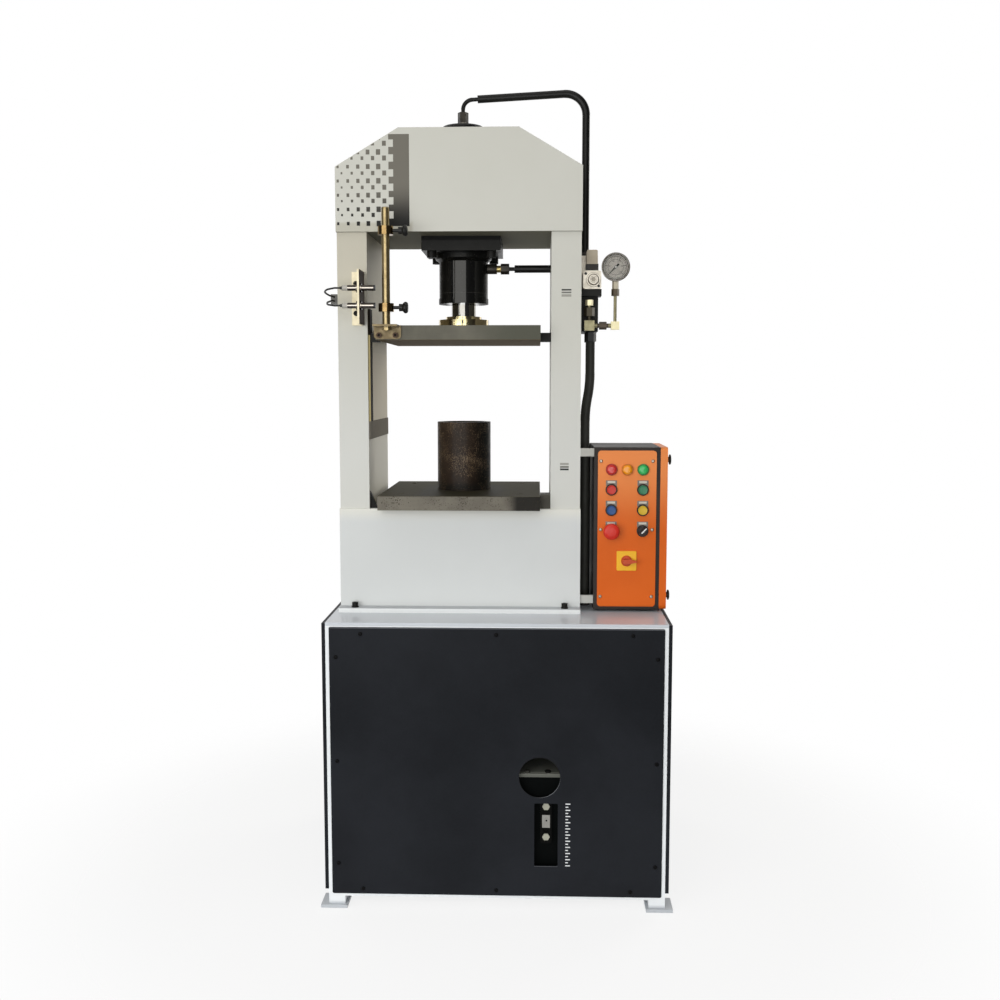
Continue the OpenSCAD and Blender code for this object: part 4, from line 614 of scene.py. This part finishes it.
caps = {
    "red_button": ("capRed", (204, 50, 40)),
    "green_button": ("capGreen", (58, 126, 90)),
    "blue_button": ("capBlue", (44, 82, 138)),
    "yellow_button": ("capYellow", (216, 178, 40)),
    "stop_button": ("stopRed", (216, 50, 36)),
    "isolator_handle": ("handleRed", (200, 74, 28)),
    "selector_knob": ("selectorBlack", (40, 27, 23)),
}
capShade = 0.93
for capNode, (capName, tone) in caps.items():
    paint(capNode, capName, tone, [capShade * c for c in tone], (0.3, 0.4), 70, 900, bump=0.04, spec=0.3)

# Power pack inside the cabinet

paint("oil_tank", "tankPaint", (5, 7, 7), (7, 9, 9), (0.55, 0.7), 10, 300, bump=0.1, spec=0.04,
      zones=[zone((98, 99, 93), z=(0.3298, 0.3384)),
             # a painted highlight along the lid's front edge
             zone((136, 137, 129), y=(-0.3278, -0.312), z=(0.337, 0.3384), soft=0.0008),
             zone((22, 22, 21), z=(0.3384, 0.4)),
             zone((58, 58, 54), x=(-1, 0.1), z=(0.3384, 0.4))])
paint("motor_body", "motorBlue", (70, 86, 108), (60, 74, 94), (0.4, 0.52), 12, 300, bump=0.1)
paint("gear_pump", "pumpCast", (150, 150, 146), (126, 126, 122), (0.4, 0.55), 30, 300, bump=0.2,
      metal=0.5)
paint("level_gauge", "levelBlack", (6, 6, 6), (9, 9, 8), (0.4, 0.55), 60, 700, bump=0.06, spec=0.06,
      zones=[zone((170, 169, 154), x=(0.1, 0.14), y=(-0.3375, -0.3325), z=(0.17, 0.27), soft=0.0002,
                  rough=0.35, metal=0.4)])
print("press: finishes laid")


# Screws

screwShape = {"steps": 24, "hexRows": (4, 5)}
panelScrews = {
    "head": [(0.0, 5.0), (1.4, 5.0), (2.6, 4.2), (3.0, 3.0), (3.0, 2.0), (1.4, 2.0)],
    "frontY": -340.0,
    "rows": (-326, 0, 326),
    "rowZ": (48, 683),
    "sideX": 386,
    "sideZ": (112, 369, 626),
}
screwBlack = makeFinish("screwBlack", (8, 8, 9), (13, 13, 14), (0.4, 0.55), 90, 900, bump=0.06, spec=0.1)
screwBright = makeFinish("screwBright", (176, 164, 150), (150, 138, 126), (0.24, 0.36), 90, 900, bump=0.05,
                         metal=0.9)


def addPanelScrews(s):
    # heads along the panel's four edges; the rear ones have their x turned round, then half a turn about Z
    spots = [(x, z) for z in s["rowZ"] for x in s["rows"]]
    spots += [(side * s["sideX"], z) for side in (-1, 1) for z in s["sideZ"]]
    for name, side, turn in (("frontPanelScrews", 1, (1, 1, 1)), ("rearPanelScrews", -1, (-1, -1, 1))):
        places = [(side * x, s["frontY"], z) for x, z in spots]
        verts, faces = turnedFront(places, s["head"], **screwShape)
        addPiece(name, (verts * turn, faces), screwBlack)


addPanelScrews(panelScrews)

plateScrews = {
    "head": [(0.0, 4.2), (1.0, 4.2), (2.0, 3.4), (2.4, 2.4), (2.4, 1.7), (1.2, 1.7)],
    "faceY": -186.0,
    "x": (255, 383),
    "z": (749, 918, 1089),
}


def addPlateScrews(s):
    # two columns of heads on the control plate
    spots = [(x, s["faceY"], z) for x in s["x"] for z in s["z"]]
    addPiece("plateScrews", turnedFront(spots, s["head"], **screwShape), screwBright)


addPlateScrews(plateScrews)
print("press: screws set")


# Wiring conduit behind the control box

conduit = {
    "foot": (239.0, 57.0, 711.0),
    "rise": 1092.0,
    "bend": 17.0,
    "enterY": 37.4,
    "straightPoints": 460,
    "bendPoints": 34,
    "diameter": 19.0,
    "ridge": 0.7,
    "pitch": 5.0,
    "sides": 28,
    "ring": [(0.0, 13.4), (3.0, 13.4), (4.0, 12.4)],
    "ringSteps": 32,
    "nut": [(0.0, 12.4), (0.8, 13.4), (9.0, 13.4), (10.0, 12.4), (15.0, 11.6), (17.5, 10.2)],
    "nutSides": 6,
    "nutSink": 0.6,
}
conduitBlack = makeFinish("conduitBlack", (17, 17, 17), (25, 25, 24), (0.42, 0.55), 40, 600, bump=0.08,
                          spec=0.25)


def addConduit(s):
    # straight up from the cabinet, then a quarter circle forward into the back of the box;
    # the section's radius swells and shrinks as a cosine of the length run
    x, y, z = s["foot"]
    top = s["rise"] + s["bend"]
    up = np.linspace(z, s["rise"], s["straightPoints"])
    straight = np.stack([np.full_like(up, x), np.full_like(up, y), up], -1)
    a = np.linspace(0, math.pi / 2, s["bendPoints"])[1:]
    forward, rise = s["bend"] * (1 - np.cos(a)), s["bend"] * np.sin(a)
    turn = np.stack([np.full_like(a, x), y - forward, s["rise"] + rise], -1)
    path = np.vstack([straight, turn, (x, s["enterY"], top)])
    run = np.r_[0, np.cumsum(np.linalg.norm(np.diff(path, axis=0), axis=1))]
    width = s["diameter"] + 2 * s["ridge"] * (np.cos(2 * math.pi * run / s["pitch"]) - 1)
    tube = tubeAlong(path, width[:, None, None], s["sides"])
    addPiece("wiringConduit", tube, conduitBlack)
    verts, faces = turnedFront([(0, 0, 0)], s["nut"], s["nutSides"])
    upright = np.stack([verts[..., 0], verts[..., 2], -verts[..., 1]], -1) + (x, y, z - s["nutSink"])
    addPiece("conduitNut", (upright, faces), conduitBlack)
    verts, faces = turnedFront([(0, 0, 0)], s["ring"], s["ringSteps"])
    facingBack = verts * (-1, -1, 1) + (x, s["enterY"], top)
    addPiece("conduitGland", (facingBack, faces), conduitBlack)


addConduit(conduit)


# Legend plates over the switches

legends = {
    "centres": [(281, 1018), (359, 1018), (281, 967), (359, 967), (281, 915), (359, 915)],
    "faceY": -186.0,
    "sink": 0.05,
    "thick": 1.2,
    "half": 13.6,
    "ring": 14.8,         # clear of the switch's ring
    "low": 8.8,
    "high": 23.2,
    "strip": (-9.5, 16.4, 9.5, 21.6),
    "stripLift": 0.1,
    "steps": 33,
}


def addLegends(s):
    # the lower edge follows the ring's circle, z = sqrt(ring^2 - x^2), but not below the plate's corner
    x = np.linspace(-s["half"], s["half"], s["steps"])
    low = np.sqrt(np.maximum(s["ring"] ** 2 - x ** 2, s["low"] ** 2))
    high = np.full_like(x, s["high"])
    front, back = s["faceY"] - s["thick"], s["faceY"] - s["sink"]
    edge = np.stack([np.stack([x, np.full_like(x, y), z], -1)
                     for y, z in ((back, low), (front, low), (front, high), (back, high))], 1)
    one = gridQuads(s["steps"], 4)[:, ::-1].tolist()
    one += [[0, 1, 2, 3], [4 * s["steps"] - 1 - k for k in range(4)]]
    verts = [edge + (cx, 0, cz) for cx, cz in s["centres"]]
    faces = [[v + k * 4 * s["steps"] for v in f] for k in range(len(verts)) for f in one]
    strips = np.array(s["centres"])[:, [0, 1, 0, 1]] + s["strip"]
    grey = makeFinish("legendGrey", (118, 112, 104), (104, 98, 92), (0.35, 0.45), 90, 900, bump=0.05,
                      metal=0.3)
    white = makeFinish("legendWhite", (206, 198, 184), (194, 186, 172), (0.4, 0.5), 120, 900, bump=0.03)
    addPiece("legendPlates", (verts, faces), grey)
    addPiece("legendStrips", flatSheets(strips, front - s["stripLift"]), white)


addLegends(legends)

pointer = {"centre": (359.0, -208.1, 915.0), "turn": 45.0, "reach": (-5.5, 12.0), "half": 1.3}


def addPointer(s):
    # a narrow sheet from near the hub outwards along the grip
    a = math.radians(s["turn"])
    along, across = np.array([math.cos(a), 0, math.sin(a)]), np.array([-math.sin(a), 0, math.cos(a)])
    near, far = (along * r for r in s["reach"])
    side = across * s["half"]
    corners = np.array([near - side, far - side, far + side, near + side]) + s["centre"]
    white = makeFinish("pointerWhite", (246, 245, 242), (238, 237, 234), (0.4, 0.5), 120, 900, bump=0.03)
    addPiece("selectorLine", (corners, [(0, 1, 2, 3)]), white, "selector_knob")


addPointer(pointer)


# Pressure gauge

gauge = {
    "centre": (289.0, -150.0, 1566.5),
    "dialDepth": 5.8,
    "dial": [(0.0, 30.2), (0.3, 30.2), (0.3, 2.0)],
    "dialSteps": 64,
    "inkLift": 0.4,
    "sweep": 270.0,
    "zero": 225.0,
    "divisions": 30,
    "bold": 6,
    "tick": (22.0, 26.5, 0.35),        # inner and outer radius, half the width
    "boldTick": (20.0, 26.5, 0.7),
    "numbers": ("0", "50", "100", "150", "200", "250"),
    "numberR": 16.0,
    "numberSize": 5.0,
    "glassDepth": 1.8,
    "glass": [(0.0, 30.6), (0.5, 30.6), (0.9, 26.01), (1.1, 15.3), (1.2, 3.06)],
    "glassTint": (0.97, 0.97, 0.96, 1),
    "glassRough": 0.03,
    "glassIndex": 1.2,
    "hubDepth": 2.55,
    "hub": [(0.0, 2.3), (0.5, 2.3), (0.8, 1.7)],
    "tailR": 8.0,
    "tailDepth": 2.95,
    "weight": [(0.0, 2.9), (0.3, 2.9), (0.5, 2.4)],
    "smallSteps": 24,
    "rim": [(-4.0, 35.1), (-0.8, 35.3), (0.3, 34.4), (0.6, 33.0), (0.3, 31.6), (-0.4, 30.9), (-1.2, 31.4),
            (-1.2, 34.0)],
    "seal": [(-5.6, 30.9), (-3.9, 30.9), (-3.9, 29.6), (-5.4, 29.6)],
    "circles": ((27.3, 26.4), (19.5, 18.6)),
    "circleThick": 0.05,
    "ringSteps": 96,
}


def dialTicks(s, inkY):
    # bars along the radius at equal angles from zero, clockwise
    k = np.arange(s["divisions"] + 1)
    angle = np.radians(s["zero"] - k * s["sweep"] / s["divisions"])
    bold = (k % s["bold"] == 0)[:, None]
    inner, outer, half = np.where(bold, s["boldTick"], s["tick"]).T[..., None]
    along = np.stack([np.cos(angle), np.sin(angle)], -1)
    side = np.stack([-np.sin(angle), np.cos(angle)], -1) * half
    near, far = along * inner, along * outer
    x, z = np.moveaxis(np.stack([near + side, far + side, far - side, near - side], 1), -1, 0)
    verts = np.stack([s["centre"][0] + x, np.full_like(x, inkY), s["centre"][2] + z], -1)
    return verts, np.arange(len(k) * 4).reshape(-1, 4)[:, ::-1]


def dialNumbers(s, inkY):
    # numerals, made a mesh each and set round the dial at equal angles
    verts, faces, base = [], [], 0
    angles = np.radians(s["zero"] - np.arange(len(s["numbers"])) * s["sweep"] / (len(s["numbers"]) - 1))
    for word, a in zip(s["numbers"], angles):
        text = bpy.data.curves.new("dialText", "FONT")
        text.body = word
        text.size = s["numberSize"] * mm
        text.align_x = "CENTER"
        text.align_y = "CENTER"
        carrier = bpy.data.objects.new("dialText", text)
        flat = bpy.data.meshes.new_from_object(carrier)
        co = np.zeros(len(flat.vertices) * 3)
        flat.vertices.foreach_get("co", co)
        x, z = (co.reshape(-1, 3)[:, :2] / mm).T
        x = x + s["centre"][0] + s["numberR"] * math.cos(a)
        z = z + s["centre"][2] + s["numberR"] * math.sin(a)
        verts.append(np.stack([x, np.full_like(x, inkY), z], -1))
        faces += [[v + base for v in p.vertices] for p in flat.polygons]
        base += len(x)
        bpy.data.objects.remove(carrier)
        bpy.data.meshes.remove(flat)
        bpy.data.curves.remove(text)
    return np.vstack(verts), faces


def makeGlass(s):
    # clear, with a low index so that the dial isn't shifted
    glass = bpy.data.materials.new("gaugeGlass")
    glass.use_nodes = True
    sockets = glass.node_tree.nodes["Principled BSDF"].inputs
    sockets["Base Color"].default_value = s["glassTint"]
    sockets["Roughness"].default_value = s["glassRough"]
    sockets["Transmission Weight"].default_value = 1.0
    sockets["IOR"].default_value = s["glassIndex"]
    return glass


def addGauge(s):
    # profiles turned round the gauge's axis, each at its depth behind the front of the case
    cx, cy, cz = s["centre"]
    dialY = cy + s["dialDepth"]
    inkY = dialY - s["inkLift"]
    dialWhite = makeFinish("dialWhite", (190, 184, 176), (180, 174, 166), (0.4, 0.5), 90, 900, bump=0.02)
    dialInk = makeFinish("dialInk", (40, 38, 36), (50, 47, 44), (0.5, 0.6), 90, 900)
    hubWhite = makeFinish("hubWhite", (238, 236, 230), (228, 226, 220), (0.3, 0.4), 90, 900)
    rimSteel = makeFinish("rimSteel", (112, 108, 102), (88, 84, 79), (0.16, 0.26), 60, 500, bump=0.04,
                          metal=0.9)
    dial = turnedFront([(cx, dialY, cz)], s["dial"], s["dialSteps"])
    addPiece("gaugeDial", dial, dialWhite)
    addPiece("gaugeTicks", dialTicks(s, inkY), dialInk)
    addPiece("gaugeNumbers", dialNumbers(s, inkY), dialInk)
    dome = turnedFront([(cx, cy + s["glassDepth"], cz)], s["glass"], s["dialSteps"])
    addPiece("gaugeGlass", dome, makeGlass(s))
    hub = turnedFront([(cx, cy + s["hubDepth"], cz)], s["hub"], s["smallSteps"])
    addPiece("needleHub", hub, hubWhite, "gauge_needle")
    # a round weight on the pointer's tail, opposite the zero
    tail = math.radians(s["zero"] + 180)
    tailAt = (cx + s["tailR"] * math.cos(tail), cy + s["tailDepth"], cz + s["tailR"] * math.sin(tail))
    weight = turnedFront([tailAt], s["weight"], s["smallSteps"])
    addPiece("needleWeight", weight, knobPlastic, "gauge_needle")
    # rolled rim, black seal inside it, and the circles printed on the dial
    addPiece("gaugeRim", ringFront(s["centre"], s["rim"], s["ringSteps"]), rimSteel)
    addPiece("gaugeSeal", ringFront(s["centre"], s["seal"], s["ringSteps"]), knobPlastic)
    t = s["circleThick"]
    for k, (outer, inner) in enumerate(s["circles"]):
        circle = ringFront((cx, inkY, cz), [(0, outer), (t, outer), (t, inner), (0, inner)], s["ringSteps"])
        addPiece("dialCircle%d" % k, circle, dialInk)


addGauge(gauge)

coilBoss = {
    "centre": (234.0, -150.0, 1535.5),
    "loops": (((0.02, 17.8), (0.2, 17.8), (0.2, 16.9), (0.02, 16.9)),
              ((3.02, 14.1), (3.2, 14.1), (3.2, 12.9), (3.02, 12.9)),
              ((10.02, 8.4), (10.15, 8.4), (10.15, 7.6), (10.02, 7.6))),
    "steps": 64,
}


def addCoilBoss(s):
    # dark rings of painted shade at the steps of the coil's boss
    stepShade = makeFinish("bossStepShade", (58, 52, 46), (74, 67, 59), (0.5, 0.65), 90, 700)
    for k, loop in enumerate(s["loops"]):
        addPiece("bossRing%d" % k, ringFront(s["centre"], loop, s["steps"]), stepShade)


addCoilBoss(coilBoss)
print("press: gauge and legends done")


# Printed marks

fade = {
    "faceY": -183.15,
    "bigColumns": (-392.0, -367.5, -342.5, -318.0, -292.5),
    "bigRows": (1875.0, 1840.0, 1805.5, 1771.5, 1737.5, 1703.5, 1669.5),
    "smallColumns": (-382.5, -357.5, -332.0, -306.0, -278.0),
    "smallRows": (1860.5, 1825.5, 1790.0, 1756.0, 1723.5, 1690.0),
    "bigSize": (5.6, 10.5),
    "smallSize": (4.2, 9.5),
    "tall": 1.25,
    "slopeFoot": (-399.0, 1804.5),     # the print stops a little inside the sloped shoulder
    "slopeRise": 0.5916,
    "slopeGap": 0.3,
    "narrowest": 0.5,
    "block": (-267.5, 1663.0, -217.0, 1882.0),
    "biteTo": -256.0,
    "biteTall": 17.5,
    "dark": (18, 17, 16),
    "light": (114, 110, 101),
    "darkTo": (1668.0, 1770.0),
}


def addFade(s):
    # squares grow from left to right on two interleaved lattices, beside a solid block with a stepped edge
    boxes = []
    for columns, rows, size in ((s["bigColumns"], s["bigRows"], s["bigSize"]),
                                (s["smallColumns"], s["smallRows"], s["smallSize"])):
        x, z = (g.ravel() for g in np.meshgrid(columns, rows))
        half = np.interp(x, (columns[0], columns[-1]), size) / 2
        boxes.append(np.stack([x - half, z - half * s["tall"], x + half, z + half * s["tall"]], -1))
    left, low, right, high = s["block"]
    small, bite = np.sort(s["smallRows"]), s["biteTall"] / 2
    teeth = np.stack([np.append(low, small + bite), np.append(small - bite, high)], -1)
    boxes.append(np.array([(left, a, s["biteTo"], min(b, high)) for a, b in teeth if a < high]))
    boxes.append(np.array([(s["biteTo"], low, right, high)]))
    x0, z0, x1, z1 = np.concatenate(boxes).T
    # each square is cut off along the shoulder's line, and dropped where nothing is left of it
    (footX, footZ), rise = s["slopeFoot"], s["slopeRise"]
    x0 = np.maximum(x0, footX + (z0 + s["slopeGap"] - footZ) / rise)
    keep = x1 > x0 + s["narrowest"]
    x0, z0, x1, z1 = x0[keep], z0[keep], x1[keep], z1[keep]
    cut0, cut1 = (np.minimum(z1, footZ + (x - footX) * rise) for x in (x0, x1))
    corners = np.stack([np.stack([x0, x1, x1, x0], -1), np.full((len(x0), 4), s["faceY"]),
                        np.stack([z0, z0, cut1, cut0], -1)], -1)
    faces = np.arange(4 * len(x0)).reshape(-1, 4)
    ink = makeFinish("fadeInk", s["dark"], s["dark"], (0.38, 0.48), 20, 700, bump=0.12, spec=0.2)
    # tone along Z: dark at the foot, paler at the top
    tree = ink.node_tree
    tone = rangeOf(tree, axesOf(tree, objectCoords(tree))["Z"], *(z * mm for z in s["darkTo"]))
    colour = mixColour(tree, tone, rgb(*s["dark"]), rgb(*s["light"]))
    feed(tree, tree.nodes["Principled BSDF"].inputs["Base Color"], colour)
    addPiece("fadePrint", (corners, faces), ink)


addFade(fade)

bars = {
    "faceY": -177.15,
    "upperX": (155.0, 179.0),
    "upperZ": ((1507.0, 1510.6), (1500.6, 1504.2), (1492.0, 1498.0)),
    "lowerX": (153.4, 175.0),
    "lowerZ": ((1065.3, 1069.7), (1071.4, 1075.8), (1078.4, 1083.6)),
    "tones": ((30, 29, 28), (112, 110, 104), (158, 156, 148)),
}


def addBars(s):
    # one tone at a time, a bar above and a bar below
    for k, tone in enumerate(s["tones"]):
        boxes = [(s[x][0], s[z][k][0], s[x][1], s[z][k][1])
                 for x, z in (("upperX", "upperZ"), ("lowerX", "lowerZ"))]
        ink = makeFinish("barInk%d" % k, tone, tone, (0.4, 0.5), 30, 700, bump=0.05, spec=0.35)
        addPiece("columnBars%d" % k, flatSheets(boxes, s["faceY"]), ink)


addBars(bars)

levelScale = {
    "faceY": -340.15,
    "left": 168.0,
    "long": 11.5,
    "short": 6.5,
    "thick": 2.6,
    "foot": 113.0,
    "pitch": 7.75,
    "count": 21,
}


def addLevelScale(s):
    # every second mark is long
    k = np.arange(s["count"])
    z = s["foot"] + k * s["pitch"]
    width = np.where(k % 2 == 0, s["long"], s["short"])
    left = np.full(len(k), s["left"])
    boxes = np.stack([left, z - s["thick"] / 2, left + width, z + s["thick"] / 2], -1)
    white = makeFinish("scaleWhite", (232, 234, 236), (222, 224, 226), (0.45, 0.55), 60, 700, bump=0.03)
    addPiece("levelScale", flatSheets(boxes, s["faceY"]), white)


addLevelScale(levelScale)

levelWindow = {
    "box": (111.5, 205.0, 130.5, 237.0),
    "y": -332.2,
    "floatAt": (122.0, -332.3, 223.0),
    "float": [(0.0, 2.2), (0.5, 2.2), (1.2, 1.32), (1.4, 0.22)],
    "floatSteps": 20,
}


def addLevelWindow(s):
    # a pale card behind the gauge's window, and a dark bead in front of it
    pale = makeFinish("levelCard", (152, 150, 145), (136, 134, 129), (0.35, 0.45), 80, 700, bump=0.04)
    addPiece("levelCard", flatSheets([s["box"]], s["y"]), pale)
    bead = turnedFront([s["floatAt"]], s["float"], s["floatSteps"])
    addPiece("levelFloat", bead, screwBlack)


addLevelWindow(levelWindow)

cutEdges = {
    "hole": (105.0, -340.0, 333.0),
    "loop": [(0.05, 50.5), (0.3, 50.5), (0.3, 49.6), (0.05, 49.6)],
    "steps": 96,
    "sill": (92.5, 109.9, 149.5, 111.3),
    "sillY": -340.15,
}


def addCutEdges(s):
    # painted highlights on the lower right of the hole's edge and along the slot's sill
    edgeHighlight = makeFinish("cutEdge", (16, 17, 19), (22, 23, 26), (0.4, 0.5), 60, 700, bump=0.05, spec=0.2,
                      zones=[zone((120, 122, 126), x=(0.11, 1), z=(0.2, 0.318), soft=0.022),
                             zone((74, 76, 80), x=(0.09, 0.16), z=(0.1, 0.2), soft=0.002)])
    addPiece("holeEdge", ringFront(s["hole"], s["loop"], s["steps"]), edgeHighlight)
    addPiece("slotSill", flatSheets([s["sill"]], s["sillY"]), edgeHighlight)


addCutEdges(cutEdges)
print("press: marks printed")


# Floor, light and background

studio = {
    "floorHalf": 3.0,
    "floorZ": -0.0005,
    "floorTone": (240, 240, 240),
    "fade": (0.8, 1.6),
    "floorWhite": 0.82,
    "ambient": (0.07, 0.30),      # from below, from above
    "ambientZ": (-0.3, 0.5),
    "white": (1.0, 1.0, 1.0, 1.0),
    "room": (0.04, 0.04, 0.04, 1.0),
    "roomY": (0.0, 0.9),
    "lamps": (
        # name, place, aim, width, height, radiance, colour
        ("frontUpper", (-1.1, -3.5, 2.4), (-0.1, 0.0, 1.5), 4.4, 1.7, 2.05, (1.0, 0.985, 0.925)),
        ("frontLower", (-1.1, -3.5, 0.85), (0.0, 0.0, 0.6), 4.4, 1.5, 3.5, (0.965, 0.985, 1.0)),
        ("overhead", (0.0, -0.8, 4.2), (0.0, 0.0, 1.0), 2.4, 2.4, 1.3, (1.0, 0.99, 0.97)),
        ("backLeft", (-2.6, 2.6, 2.0), (0.0, 0.0, 1.0), 1.6, 2.4, 1.6, (1.0, 1.0, 1.0)),
        ("backRight", (2.6, 2.6, 2.0), (0.0, 0.0, 1.0), 1.6, 2.4, 3.6, (1.0, 0.97, 0.9)),
    ),
}


def seenRays(tree):
    # the camera's own rays, and 1 for all that it sees, straight, mirrored or through glass
    path = addNode(tree, "LightPath").outputs
    turned = mathOf(tree, "MAXIMUM", path["Is Glossy Ray"], path["Is Transmission Ray"])
    return path["Is Camera Ray"], mathOf(tree, "MAXIMUM", path["Is Camera Ray"], turned)


def addFloor(s):
    # a flat sheet whose tone fades into the white background with distance
    h, z = s["floorHalf"], s["floorZ"]
    mesh = bpy.data.meshes.new("studioFloor")
    mesh.from_pydata([(-h, -h, z), (h, -h, z), (h, h, z), (-h, h, z)], [], [(0, 1, 2, 3)])
    finish = bpy.data.materials.new("studioFloor")
    finish.use_nodes = True
    tree = finish.node_tree
    tree.nodes.remove(tree.nodes["Principled BSDF"])
    matt = addNode(tree, "BsdfDiffuse", {"Color": rgb(*s["floorTone"])})
    bright = addNode(tree, "Emission")
    clear = addNode(tree, "BsdfTransparent")
    seen = seenRays(tree)[1]
    lift = mixShaders(tree, mathOf(tree, "MULTIPLY", seen, s["floorWhite"]), matt, bright)
    far = vectorOf(tree, "LENGTH", objectCoords(tree))["Value"]
    edge = mixShaders(tree, rangeOf(tree, far, *s["fade"]), lift, clear)
    feed(tree, tree.nodes["Material Output"].inputs["Surface"], edge.outputs[0])
    mesh.materials.append(finish)
    floor = bpy.data.objects.new("studioFloor", mesh)
    scene.collection.objects.link(floor)


def addWorld(s):
    # white where the camera looks; reflections fade to a greyer room on the camera's side
    world = bpy.data.worlds.new("whiteStudio")
    scene.world = world
    world.use_nodes = True
    tree = world.node_tree
    soft = tree.nodes["Background"]
    soft.inputs["Color"].default_value = s["white"]
    white = addNode(tree, "Background", {"Strength": 1.0})
    camera, seen = seenRays(tree)
    direction = axesOf(tree, addNode(tree, "TexCoord").outputs["Generated"])
    feed(tree, soft.inputs["Strength"], rangeOf(tree, direction["Z"], *s["ambientZ"], *s["ambient"]))
    shade = mixColour(tree, rangeOf(tree, direction["Y"], *s["roomY"]), s["room"], s["white"])
    feed(tree, white.inputs["Color"], mixColour(tree, camera, shade, s["white"]))
    feed(tree, tree.nodes["World Output"].inputs["Surface"], mixShaders(tree, seen, soft, white).outputs[0])


def addLamps(s):
    # each lamp's power is its radiance times pi times its area
    for name, place, aim, width, height, radiance, colour in s["lamps"]:
        lamp = bpy.data.lights.new(name, "AREA")
        lamp.shape = "RECTANGLE"
        lamp.size = width
        lamp.size_y = height
        lamp.energy = radiance * math.pi * width * height
        lamp.color = colour
        holder = bpy.data.objects.new(name, lamp)
        look = Vector(aim) - Vector(place)
        holder.matrix_world = Matrix.Translation(place) @ look.to_track_quat("-Z", "Y").to_matrix().to_4x4()
        holder.visible_camera = False
        scene.collection.objects.link(holder)


addFloor(studio)
addWorld(studio)
addLamps(studio)
print("press: studio lit")
